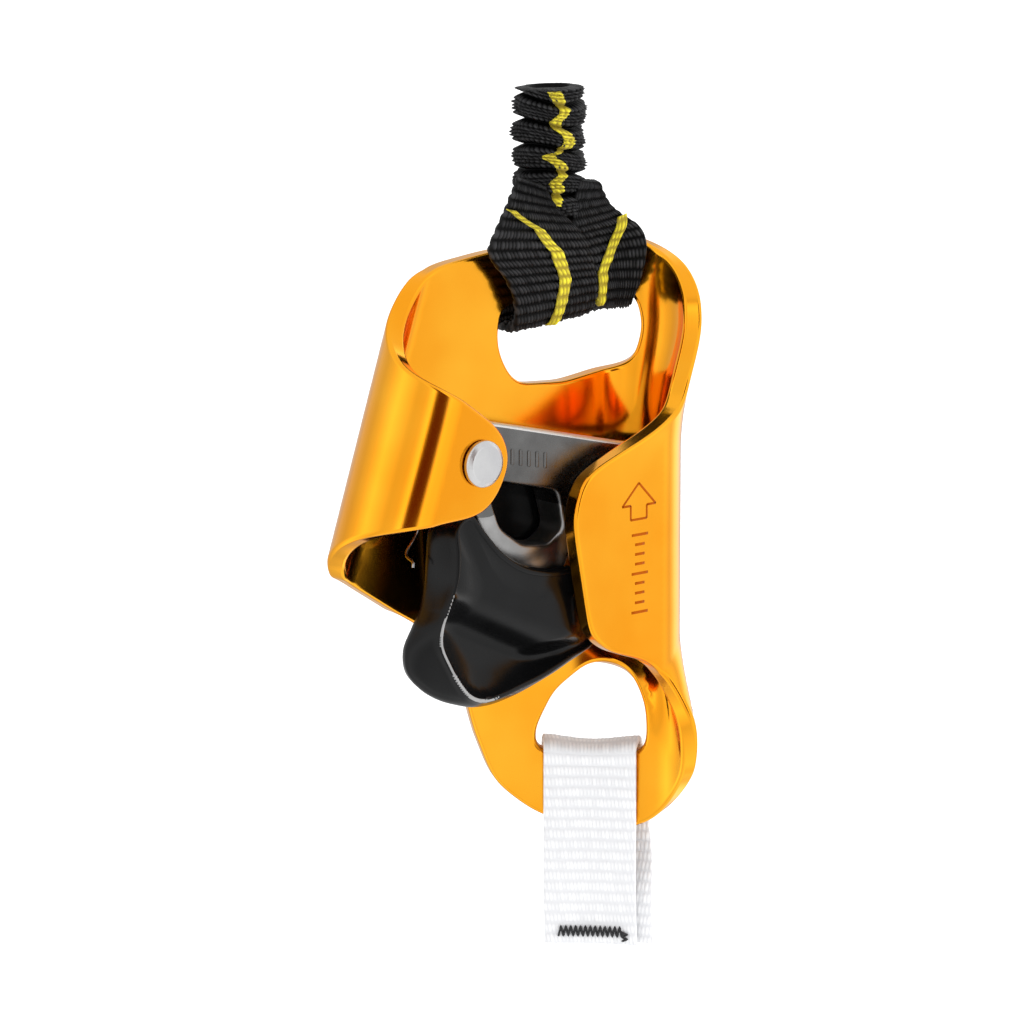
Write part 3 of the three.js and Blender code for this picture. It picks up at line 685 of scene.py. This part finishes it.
def build_liner():
    outer = rounded([(39, -4, 1), (72, -4, 1), (78, -8, 1), (77, -33, 1), (66, -36, 2),
                     (60, -36, 2), (39, -27, 1)])
    bores = [circle(LINER_X, z, 1.5, 28) for z in LINER_Z]
    sheet = plate(lambda u, v, w: on_sheet(u, v, w - GAP - LINER_T), outer, bores, LINER_T,
                  0.15, 0.9, 0.7, 2)
    piece("channel_liner_sheet", sheet, liner_steel, ["channel_liner"], "stainless")
    for i, z in enumerate(LINER_Z):
        profile = rounded_profile([(0, -1.75, 0), (2, -1.75, 0.35), (2, -1.2, 0.05),
                                   (1.2, -1.2, 0.1), (1.2, SHEET + GAP, 0.1),
                                   (2.2, SHEET + GAP, 0.1), (1.8, SHEET + 1, 0.5),
                                   (0, SHEET + 1, 0)])
        piece(f"channel_rivet_{i + 1}", lathe(profile, LINER_X, z, 48), bright,
              [f"liner_rivet_{i + 1}"], "rivet_steel", sharp=40)


# ---- cam and axle ----
def cam_outline():
    """Round the hub, along the top, down the teeth, and back under the tail and the arm."""
    a = np.linspace(-math.pi / 2, -1.5 * math.pi, 28)
    points = [(7.4 * math.cos(q), 7.4 * math.sin(q)) for q in a] + [(8, 5.2), (43.6, -3.2)]
    for i in range(9):
        z = -5.2 - 1.9 * i
        reach = 45.4 - 0.02 * (z + 13) ** 2
        points += [(reach - 1.1, z - 0.2), (reach, z - 0.3)]
    points.append((43.2, -22.8))
    for control, end, count in [((40, -25), (35, -24), 8), ((35, -24), (26, -20.4), 2),
                                ((23.4, -28.4), (17, -28.4), 8), ((12.6, -28), (12.6, -22), 8),
                                ((8, -18.5), (3.4, -10), 12), ((1.8, -7.6), (0.6, -7.38), 6)]:
        points += quad_curve(points[-1], control, end, count)
    return np.array(points[:-1])


def build_cam():
    thick = CAM_REAR - CAM_FRONT
    window = softened(rounded([(6.4, -4.6, 1.5), (22.6, -8.6, 1.5), (24.8, -16, 2),
                               (21.4, -18.2, 2), (15, -17.3, 4), (9.6, -13.6, 5)], 10), 0.6)

    def arm_share(u, v):
        return (smoothstep(np.hypot(u, v), 9, 13) * smoothstep(-v, 9.5, 13.5)
                * smoothstep(27 - u, 0, 4))

    def place(u, v, w):
        arm = arm_share(u, v)
        face = 1.1 * arm * smoothstep(np.hypot(u - 15.5, v + 9.6), 7.5, 12)
        return np.stack([u, CAM_FRONT + w + face * (1 - w / thick), v], -1)
    holes = [circle(0, 0, 4.08), circle(PIN_X, PIN_Z, PIN_R + GAP, 32), window]
    body = plate(place, cam_outline(), holes, thick, 0.8, 0.7, 0.5, 4)[:2]
    obj = piece("cam_plate", body, cam_steel, ["cam"], "stainless", "cam_body", 50)
    # Painted light: the arm region gets the lighter copy of the cam steel.
    reface(obj, arm_painted_light, lambda at, out: arm_share(at[:, 0], at[:, 2]) > 0.35)
    # Painted highlight: faces along the top edge that face up get the bright steel.
    reface(obj, top_highlight_steel, lambda at, out: (out[:, 2] > 0.3)
           & (at[:, 2] > 2.5 - 0.236 * (at[:, 0] - 8)))
    bars = []
    for k in range(5):
        x = 12.2 + 1.9 * k
        z = -1.25 - 0.2 * (x - 12.2)
        outline = rounded([(x - 0.35, z + 1.5, 0.3), (x + 0.35, z + 1.4, 0.3),
                           (x + 0.35, z - 1.5, 0.3), (x - 0.35, z - 1.4, 0.3)], 4)
        bars.append(plate(lambda u, v, w: np.stack([u, CAM_FRONT - 0.16 + w, v], -1), outline, [],
                          0.3, 0.12, 0.4, 0.3, 2)[:2])
    piece("cam_grip_bars", joined(bars), cam_steel, (), "stainless", "cam_body", 50)
    profile = rounded_profile([(0, -10.9, 0), (PIN_R, -10.9, 0.3), (PIN_R, -1.2, 0.3),
                               (0, -1.2, 0)])
    piece("catch_pin_steel", lathe(profile, PIN_X, PIN_Z, 48), bright, ["catch_pin"],
          "rivet_steel", "cam_body", 40)


def build_axle():
    front, rear, head = -2 * FOLD_R - SHEET, SHEET, 4.1
    profile = rounded_profile([
        (0, front - 1.62, 0), (head - 0.9, front - 1.62, 0.6), (head, front - 1.05, 0.5),
        (head, front - GAP, 0.08), (RIVET_R, front - GAP, 0.05), (RIVET_R, rear + 1.3, 0.05),
        (head, rear + 1.3, 0.08), (head, rear + 2.05, 0.5), (head - 0.8, rear + 2.6, 0.6),
        (0, rear + 2.6, 0)], 8)
    dish = [(0.02, front - 1.5), (1.2, front - 1.52), (2.3, front - 1.57)]
    piece("axle_rivet_body", lathe(dish + profile[1:]), bright, ["axle_rivet"], "rivet_steel",
          sharp=35)
    rings = [("axle_bush", "axle_sleeve", RIVET_R + GAP, 4.0, -2 * FOLD_R + GAP, -GAP, bright,
              "rivet_steel"),
             ("front_washer", "washer_front", 4.3, 7.0, -2 * FOLD_R + GAP, CAM_FRONT - GAP,
              spring_steel, "spring_steel"),
             ("rear_washer", "rivet_washer", RIVET_R + GAP, 5.6, rear + GAP, rear + 1, bright,
              "rivet_steel")]
    for name, node, inner, outer, y0, y1, mat, slot in rings:
        ring = rounded([(inner, y0, 0.1), (outer, y0, 0.2), (outer, y1, 0.2), (inner, y1, 0.1)], 4)
        piece(name, turned_ring(ring), mat, [node], slot, sharp=40)


def smooth_path(points, count):
    rows = np.array(points, float)[:, None, :]
    return catmull(rows, np.linspace(0, 1, count))[:, 0]


def build_springs():
    turns, per = 2.0, 16
    n = int(turns * per)
    coil = [(5.2 * math.cos(q), -0.8 - 1.6 * i / n, 5.2 * math.sin(q)) for i, q in
            enumerate(math.radians(150) + np.arange(n + 1) * 2 * math.pi / per)]
    route = [(-9.5, -0.8, -3), (-7.4, -0.8, 0), *coil, (2.5, -2.6, 6.9), (7, -2.6, 3.6)]
    piece("cam_spring_wire", sweep(smooth_path(route, 260), 0.4), spring_steel, ["cam_spring"],
          "spring_steel", sharp=60)
    route = [(-8.5, -8.2, -18.4), (-8.3, -8.0, -17.6), (-7.0, -4.6, -16.8), (-4.4, -4.0, -14),
             (-2.4, -5.4, -9.4), (2, -9.6, -8.6)]
    piece("catch_spring_wire", sweep(smooth_path(route, 60), 0.28), spring_steel,
          ["catch_spring"], "spring_steel", "catch_body", 60)


# ---- catch ----
# Each row goes round the catch: the crest of its rim (x, y, z), the widest point outside it
# (x, y, z), and how far the side bulges.
CATCH_ROWS = [
    ((-1.6, -12.4, -12.0), (-3.9, -8.0, -11.6), 0.1),
    ((-2.3, -13.4, -16.5), (-5.0, -8.0, -17.0), 0.1),
    ((-3.2, -14.0, -20.6), (-5.3, -7.8, -21.6), 0.1),
    ((-5.2, -14.2, -25.0), (-6.2, -7.8, -25.6), 0.2),
    ((-6.7, -14.2, -28.4), (-8.2, -7.8, -29.2), 0.3),
    ((-7.0, -14.2, -31.4), (-10.2, -7.9, -32.8), 0.5),
    ((-5.2, -14.2, -35.3), (-9.9, -7.9, -36.6), 0.7),
    ((-2.8, -14.2, -39.0), (-7.2, -8.0, -39.9), 0.8),
    ((-0.4, -14.2, -41.5), (-3.2, -8.2, -42.4), 0.8),
    ((2.6, -14.1, -42.7), (1.6, -8.4, -43.8), 0.7),
    ((6.8, -13.8, -42.6), (6.4, -8.4, -44.6), 0.6),
    ((12.4, -12.8, -41.9), (12.4, -8.4, -44.2), 0.5),
    ((18.6, -11.8, -40.9), (19.0, -8.2, -42.7), 0.4),
    ((26.0, -10.6, -38.9), (26.4, -7.8, -40.7), 0.3),
    ((32.6, -9.3, -36.8), (33.4, -6.8, -37.6), 0.2),
    ((31.0, -10.6, -29.0), (31.4, -7.6, -28.6), 0.1),
    ((26.4, -11.6, -23.6), (26.6, -10.9, -22.9), 0.0),
    ((19.6, -12.3, -22.9), (19.6, -11.0, -22.2), 0.0),
    ((13.2, -12.5, -21.1), (13.4, -11.0, -20.4), 0.0),
    ((7.9, -12.6, -17.7), (8.4, -11.0, -17.1), 0.0),
    ((3.9, -12.5, -13.4), (4.5, -11.0, -13.0), 0.0),
    ((1.2, -12.3, -10.4), (1.6, -10.9, -9.8), 0.0),
]
MIDDLE = np.array([11.0, 0.0, -31.0])
HOLLOW_DEPTH = 5.0
TAIL_ROOM = [(1.6, -2), (1.8, -8), (3, -10.6), (5.2, -14.6), (7.6, -18.1), (11.3, -22.8),
             (11.3, -29.6), (23.5, -30.0), (28.6, -23.0), (40, -26), (40, -2)]


def around(rows, per=14):
    """Closed smooth curve through points, or through plain numbers."""
    rows = np.array(rows, float)
    padded = np.concatenate([rows[-2:], rows, rows[:3]])
    t = (2 + np.arange(len(rows) * per) / per) / (len(padded) - 1)
    if rows.ndim > 1:
        return catmull(padded[:, None], t)[:, 0]
    spaced = np.stack([padded, np.arange(len(padded)), padded * 0], 1)
    return catmull(spaced[:, None], t)[:, 0, 0]


def hollow(rows, rim):
    """Depth of the thumb hollow at rows of points inside the rim: a steep wall inside the left
    and lower rim, and a crease that falls from upper left to lower right above it."""
    x, z = rows[..., 0], rows[..., 2]
    span = rim[::7]
    wall = np.full(x.shape, np.inf)
    for a, b in zip(span, np.roll(span, -1, axis=0)):
        along = b[[0, 2]] - a[[0, 2]]
        t = ((x - a[0]) * along[0] + (z - a[2]) * along[1]) / (along @ along)
        t = np.clip(t, 0, 1)
        d = np.hypot(x - a[0] - along[0] * t, z - a[2] - along[1] * t)
        wall = np.minimum(wall, d)
    below = -z - 0.46 * x - 24.05
    slope = smoothstep(below, -1.6, 7.5) * smoothstep(x, 32, 22)
    floor = 1 - 0.4 * smoothstep(below, 4, 15)
    return HOLLOW_DEPTH * slope * floor * (1 - np.exp(-wall / 1.3))


def tail_share(x, z):
    """1 where the cam's tail passes behind the catch's front wall, 0 clear of it."""
    points = np.stack([x.ravel(), z.ravel()], 1)
    room = resampled(np.array(TAIL_ROOM, float), 0.5)
    d = nearest(points, room)
    d = np.where(inside(points, [room]), d, -d)
    return smoothstep(d, -0.9, -0.1).reshape(x.shape)


def build_catch():
    crest, wide, bulge = (around([r[k] for r in CATCH_ROWS]) for k in range(3))
    bulge = bulge[:, None]
    away = unit((wide - crest) * [1, 0, 1])
    rows = []
    # From the widest point forward to the rim, over a bead, then down into the hollow.
    base = crest + away * 0.85 + [0, 1.15, 0]
    for t in np.linspace(0, 1, 15):
        q = wide + (base - wide) * [[t ** 1.3, t, t ** 1.3]]
        rows.append(q + away * bulge * math.sin(math.pi * t ** 0.8))
    bead = 0.55
    centre = crest + [0, bead, 0]
    for a in np.radians([-75, -50, -25, 0, 25, 50, 70]):
        rows.append(centre + away * -math.sin(a) * bead + [0, -math.cos(a) * bead, 0])
    inner = rows[-1]
    share = np.linspace(0.012, 0.99, 44)[:, None, None] ** 1.2
    bowl = inner + (MIDDLE - inner) * share
    level = np.mean(inner[:, 1]) - 0.1
    ease = smoothstep(share[..., 0], 0, 0.45)
    bowl[..., 1] = inner[:, 1] * (1 - ease) + level * ease + hollow(bowl, inner)
    room = -11.75 + 6 * (1 - tail_share(bowl[..., 0], bowl[..., 2]))
    bowl[..., 1] = np.minimum(bowl[..., 1], room)
    rows += list(bowl)
    front = np.array(rows[::-1])
    # The back: level, except where the tail of the cam needs room.
    back = []
    low = np.array([12.0, 0, -34.0])
    for t in np.linspace(0.0, 0.985, 30) ** 1.3:
        p = wide * (1 - t) + low * t
        deep = smoothstep(-p[:, 2], 29.9, 30.6) * smoothstep(p[:, 0], 3.0, 9.0)
        share = tail_share(p[:, 0], p[:, 2])
        y = (-5.0 + 2.6 * deep) * (1 - share) - 10.85 * share
        edge = math.sqrt(1 - (1 - min(1, t * 3.0)) ** 2)
        p[:, 1] = wide[:, 1] * (1 - edge) + y * edge
        back.append(p)
    loops = np.concatenate([front, np.array(back[1:])])
    shell = loops.reshape(-1, 3), capped(len(loops), len(crest))
    cheek = rounded([(6.6, -5, 2), (22, -7, 3), (28, -15, 3), (27.5, -31.5, 3), (2, -31.5, 3),
                     (1, -14, 4), (5, -9.6, 2)], 8)
    side = plate(lambda u, v, w: np.stack([u, -2.75 + w, v], -1), cheek,
                 [circle(PIN_X, PIN_Z, 1.62, 32)], 1.9, 0.4, 1.2, 0.8, 3)
    obj = piece("catch_body_moulding", joined([shell, side[:2]]), nylon, ["catch"], "nylon",
                "catch_body", 50)

    # Faces along the crest of the catch's rim get the painted highlight, which fades out to the
    # right and upwards.
    def rim_highlight_faces(at, out):
        fade = smoothstep(10 - at[:, 0], 0, 8) * smoothstep(-at[:, 2], 18, 31)
        return nearest(at, crest[::2]) < 0.34 * fade

    reface(obj, rim_painted_highlight, rim_highlight_faces)


# ---- shoulder strap ----
FRONT_W = -(STRAP_T / 2 + 0.5)
REAR_W = SHEET + STRAP_T / 2 + 0.5


def lobe(bottom, rear, front):
    """Webbing round the top bar: its stations behind the bar, its span along the bar with its
    slack at each edge, and its stations in front. A station is (u0, u1, v0, v1, lift)."""
    u0, u1, slack0, slack1 = bottom
    under = EYE_TOP - STRAP_T / 2 - 0.7
    v0, v1 = under - slack0, under - slack1
    rows = [(*ends, REAR_W + lift) for *ends, lift in rear]
    rows += [(u0, u1, 24.6, 24.6, REAR_W), (u0, u1, v0, v1, SHEET + 0.5), (u0, u1, v0, v1, -0.5)]
    rows += [(*ends, FRONT_W + lift) for *ends, lift in front]
    return through([station(*row) for row in rows])


def measured(surface):
    """Length of a surface along its own middle."""
    line = surface(np.linspace(0, 1, 200), np.array([0.5]))[:, 0]
    return float(np.linalg.norm(np.diff(line, axis=0), axis=1).sum())


def wandering(surface, route, stations, share):
    """A narrow strip of a surface whose middle follows route: (station, share across)."""
    at, middle = np.array(route, float).T
    at = at / (stations - 1)

    def strip(a, b):
        where = at[0] + (at[-1] - at[0]) * a
        centre = np.interp(where, at, middle)
        rows = [surface(np.array([w]), np.clip(c + (b - 0.5) * share, 0, 1))
                for w, c in zip(where, centre)]
        return np.concatenate(rows)
    return strip


def build_strap():
    left = [(27, 35, 41, 41, 1), (23, 38, 34, 34, 0)], (20.8, 38.9, 2.0, 0.5), [
        (19.8, 38.9, 23.9, 24.5, -0.8), (17.8, 38.1, 27.9, 27.5, -1.1),
        (13.4, 36.3, 33.6, 32.0, -1.4), (15.4, 33.0, 38.6, 36.2, -1.8),
        (17.4, 28.0, 42.8, 40.4, -2.4), (18.4, 24.4, 46.6, 44.4, -3.4)]
    right = [(37.2, 42, 41, 41, 1), (38.3, 46, 34, 34, 0)], (39.6, 47.8, 0, 0), [
        (39.0, 49.4, 24.5, 24.5, 0), (37.6, 50.6, 27.6, 27.8, 0), (36.4, 51.2, 30.4, 31.8, 0.1),
        (34.6, 50.0, 33.2, 34.8, 0.1), (33.4, 44.8, 36.6, 37.8, -0.2),
        (32.8, 41.0, 40.4, 40.6, -0.8), (34.2, 38.6, 44.6, 43.9, -1.6)]
    tracers = {"left": [(3.9, 0.47), (5, 0.52), (6, 0.61), (7, 0.64), (7.9, 0.46), (8.6, 0.03)],
               "right": [(4.2, 0.07), (5, 0.1), (6, 0.2), (7, 0.4), (8, 0.62), (8.8, 0.93)]}
    for name, (rear, bottom, front), width in (("left", left, 18.6), ("right", right, 13.0)):
        surface = lobe(bottom, rear, front)
        stations = len(rear) + 3 + len(front)
        length = measured(surface)
        webbing = band(surface, width, length, STRAP_T - 0.6, 1.75, 0.72, 0.8, 0.13)
        node = f"strap_lobe_{name}"
        obj = piece(node + "_webbing", webbing, black_yarn, [node], "black_webbing")
        strip = wandering(surface, tracers[name], stations, 2.5 / width)
        yarn = band(strip, 2.5, measured(strip), 0.6, 1.75, 0.8, 0.55, 0.13, STRAP_T / 2 + 0.1, 3)
        piece(f"tracer_{name}_yarn", yarn, yellow, [f"tracer_{name}"], "yellow_yarn")


def tube_point(angle, r, z):
    """Point of the flattened tube at an angle and a radius round its middle."""
    return np.stack([TUBE_X + r * np.sin(angle), TUBE_Y - TUBE_SQUASH * r * np.cos(angle),
                     z + 0 * angle], -1)


def sleeve_radius(angle, z):
    """Radius of the gathered sleeve and the distance along its crumpled surface."""
    drift = 0.5 * np.sin(angle + 0.9) + 0.35 * np.sin(2 * angle + 2.1 + z * 0.21)
    phase = (z - TUBE_BOTTOM) / TUBE_PITCH + 0.35 * drift
    f = phase - np.floor(phase)
    fold = np.sin(math.pi * f) ** 0.55
    ring = np.floor(phase)
    size = 1 + 0.12 * np.sin(3 * angle + 4 * hash01(ring, ring * 0 + 3) * math.pi)
    small = 0.2 * np.sin(7 * angle + 7 * ring + 3 * f) * fold
    return 4.75 + 2.1 * fold * size + small, (ring + (1 - np.cos(math.pi * f)) / 2) * 7.0


def sleeve_points(angle, z, lift=0.0):
    r, s = sleeve_radius(angle, z)
    height = weave(s, angle * 5.8 + 0.5 * np.sin(s), 1.4, 0.95, 0.9)
    r = r + 1.05 * (height - 0.4) + lift
    closing = smoothstep(TUBE_TOP - z, -0.01, 0.25) * smoothstep(z - TUBE_BOTTOM, -0.01, 0.5)
    r = 5.0 + (r - 5.0) * closing
    return tube_point(angle, r, z), height


def build_sleeve():
    n, m = 330, 170
    angle, z = np.meshgrid(full_turn(n), np.linspace(TUBE_BOTTOM, TUBE_TOP, m))
    outer, height = sleeve_points(angle, z)
    inner = tube_point(angle, 3.95, z)
    loops = np.concatenate([outer, inner[::-1][:: m - 1]])
    verts = loops.reshape(-1, 3)
    faces = tube_faces(len(loops), n)
    last = len(loops) - 1
    faces += [(last * n + j, j, (j + 1) % n, last * n + (j + 1) % n) for j in range(n)]
    relief = np.concatenate([height.ravel(), np.zeros(2 * n)])
    obj = piece("strap_sleeve_gathers", (verts, faces, {"relief": relief}), black_yarn,
                ["strap_sleeve"], "black_webbing")


def build_sleeve_tracer():
    """Yellow yarns that wander round the front of the gathers: (height, angle) along them."""
    route = [(22.6, 0.25), (20.8, 0.40), (19.2, 0.62), (16.9, 0.30), (14.7, 0.66), (12.1, 0.55),
             (11.4, 0.12), (9.8, 0.40), (8.1, 0.60), (6.5, 0.30), (5.0, 0.40), (2.4, 0.25)]
    count, across = 150, 9
    path = smooth_path([(height, angle, 0) for height, angle in route], count)
    angle = path[:, 1:2] + math.radians(-41) + np.linspace(-0.19, 0.19, across)
    z = np.clip(TUBE_BOTTOM + path[:, :1] + 0 * angle, TUBE_BOTTOM + 0.4, TUBE_TOP - 0.4)
    top, relief = sleeve_points(angle, z, 0.42)
    low, _ = sleeve_points(angle, z, -0.05)
    top[:, [0, -1]] = 0.5 * (top[:, [0, -1]] + low[:, [0, -1]])
    ring = np.concatenate([top, low[:, ::-1]], 1)
    relief = np.concatenate([relief, relief[:, ::-1]], 1)
    shape = ring.reshape(-1, 3), capped(count, 2 * across), {"relief": relief}
    piece("tracer_sleeve_yarn", shape, yellow, ["tracer_sleeve"], "yellow_yarn")


def build_core():
    """The ribbed rubber inside the gathers."""
    core = rounded_profile([(0, TUBE_BOTTOM + 0.5, 0), (3.8, TUBE_BOTTOM + 0.5, 0.5),
                            (3.8, TUBE_TOP - 0.6, 0.5), (0, TUBE_TOP - 0.6, 0)])
    verts = [tube_point(a, r * (1 + 0.03 * math.cos(16 * a)), z)
             for r, z in core for a in full_turn(64)]
    piece("elastic_core", (verts, capped(len(core), 64)), rubber, ["strap_core"], "elastic",
          sharp=40)


def build_tail():
    """The end of the strap, sewn in behind the lobes."""
    rows = [[(TUBE_X + 1 + x, SHEET / 2 - 0.3 * math.cos(x), z) for x in (-5.2, 0, 5.2)]
            for z in (34.3, 37, 40, 42)]
    tail = band(through(rows), 10.4, 7.7, 2.4, 1.75, 0.62, 0.3, 0.25)
    piece("strap_tail_webbing", tail, black_yarn, ["strap_tail"], "elastic")


# ---- lower webbing loop ----
def build_webbing():
    u0, u1, half = 29.4, 46.6, WEB_T / 2
    top = LOWER_EYE + half + 0.4
    front, rear = -half - 0.5, SHEET + half + 0.5

    def row(v, w, shift=0.0, sag=0.0):
        t = np.array([0, 0.5, 1])
        return on_sheet(u0 + shift + (u1 - u0) * t, v + sag * np.array([0.7, -0.5, 0.7]),
                        np.full(3, w))
    loop = through([
        row(WEB_END, front, 0.3), row(-84, front), row(-72, front), row(-62, front),
        row(top - 0.5, front + 0.1, 0, 0.6), row(top + 0.3, SHEET / 2 - 1, 0, 0.9),
        row(top + 0.3, SHEET / 2 + 1, 0, 0.9), row(top - 0.6, rear - 0.1, 0, 0.6),
        row(-62, rear), row(-72, rear, 1.0),
        row(-79, rear - 0.3, 1.8), row(-86, front + WEB_T + 0.7, 2.6),
        row(WEB_END, front + WEB_T + 0.4, 2.8)])
    length = measured(loop)
    width = u1 - u0
    webbing = band(loop, width, length, WEB_T - 0.1, 1.95, 0.7, 0.2, 0.15)
    obj = piece("web_loop_webbing", webbing, white_yarn, ["web_loop"], "white_webbing")


def build_bartack():
    """A zigzag of black thread across the webbing's front, with a few stitches back."""
    face, middle, half_turns = -WEB_T - 0.72, -92.4, 26
    points = [(32.2 + 12.0 * i / half_turns, middle + (0.95 if i % 2 else -0.95))
              for i in range(half_turns + 1)]
    points += [(44.6 + (0.6 if i % 2 else -0.5), middle - 0.42 * i) for i in range(5)]
    points = np.array(points)
    path = []
    for p, q in zip(points, points[1:]):
        for t in np.linspace(0, 1, 8, endpoint=False):
            at = p + (q - p) * t
            path.append(on_sheet(at[0], at[1], np.array(face - 0.2 * math.sin(math.pi * t))))
    verts, faces = sweep(path, 0.2, 8)
    stitches = verts, faces, {"relief": np.ones(len(verts))}
    piece("web_bartack_stitches", stitches, thread, ["web_bartack"], "black_thread")


build_frame()
build_marks()
build_liner()
build_cam()
build_axle()
build_springs()
build_catch()
build_strap()
build_sleeve()
build_sleeve_tracer()
build_core()
build_tail()
build_webbing()
build_bartack()


# ---- camera, floor and light ----
def build_camera():
    cam = bpy.data.cameras.new("camera")
    obj = placed("camera", cam)
    azimuth, elevation = math.radians(-41), math.radians(11)
    back = Vector((math.sin(azimuth) * math.cos(elevation),
                   -math.cos(azimuth) * math.cos(elevation), math.sin(elevation)))
    right = Vector((math.cos(azimuth), math.sin(azimuth), 0))
    up = back.cross(right)
    centre = Vector(((np.array([18, -8, -5.0]) - ORIGIN) * MM).tolist())
    turn = Matrix((right, up, back)).transposed().to_4x4()
    obj.matrix_world = Matrix.Translation(centre + back * 0.9) @ turn
    cam.lens = 179.2
    cam.sensor_width = 36
    cam.shift_x, cam.shift_y = -0.01154, -0.04316
    cam.clip_start = 0.05
    bpy.context.scene.camera = obj


def area_light(name, place, size, power):
    """A lamp aimed at the middle of the object, not seen in reflections."""
    light = bpy.data.lights.new(name, "AREA")
    light.shape = "RECTANGLE"
    light.size, light.size_y = size
    light.energy = power
    obj = placed(name, light)
    target = Vector((-0.01, -0.01, -0.07))
    obj.location = Vector(place)
    obj.visible_glossy = False
    obj.rotation_euler = (target - obj.location).to_track_quat("-Z", "Y").to_euler()


def build_floor():
    mesh = bpy.data.meshes.new("floor")
    size, z = 14.0, -0.52
    mesh.from_pydata([(-size, -size, z), (size, -size, z), (size, size, z), (-size, size, z)], [],
                     [(0, 1, 2, 3)])
    mesh.materials.append(material("floor_white", lambda graph: {
        "Base Color": (0.93, 0.93, 0.93, 1), "Roughness": 0.9,
        "Emission Color": (1, 1, 1, 1), "Emission Strength": 0.45}))
    floor = placed("floor", mesh)
    floor.visible_glossy = False


def build_surround():
    """Light and dark walls all round, given as (compass degrees, grey level or colour), and a
    white ceiling. The dark stripe fades out just below the horizon."""
    world = bpy.data.worlds.new("studio")
    bpy.context.scene.world = world
    graph = Graph(world)
    where = graph.add("TexCoord", {})["Generated"]
    parts = graph.add("SeparateXYZ", {"Vector": where})
    turn = graph.maths("ARCTAN2", parts["X"], graph.maths("MULTIPLY", parts["Y"], -1))
    compass = graph.spread(turn, 0, 1, -math.pi, math.pi)
    dark = (0.12, 0.03, 0.015)
    left = [(-180, 0.8), (-150, 0.75), (-125, 1.0), (-100, 1.5), (-80, 1.2), (-60, 0.9),
            (-40, 1.0)]
    stripe = [(-27, 1.8), (-22, dark), (0, dark), (6, 1.6)]
    right = [(24, 1.3), (38, 0.95), (50, 1.2), (66, 0.9), (86, 1.7), (102, 1.5), (122, 0.65),
             (150, 0.7)]

    def bands(rows):
        return graph.ramp(compass, [((degrees + 180) / 360, level) for degrees, level in rows])

    above = graph.spread(parts["Z"], 0, 1, -0.14, -0.02)
    walls = graph.mix(above, bands(left + right), bands(left + stripe + right))
    overhead = graph.spread(parts["Z"], 0, 1, 0.5, 0.8)
    graph.feed(graph.nodes["Background"], {
        "Color": graph.mix(overhead, walls, (1.0, 1.0, 1.0, 1)), "Strength": 1.0})


build_camera()
build_floor()
build_surround()
area_light("key", (0.75, -0.95, 0.35), (0.7, 0.9), 6)
area_light("top", (0.0, -0.1, 0.9), (0.9, 0.9), 2)
bpy.context.scene.view_settings.view_transform = "Standard"
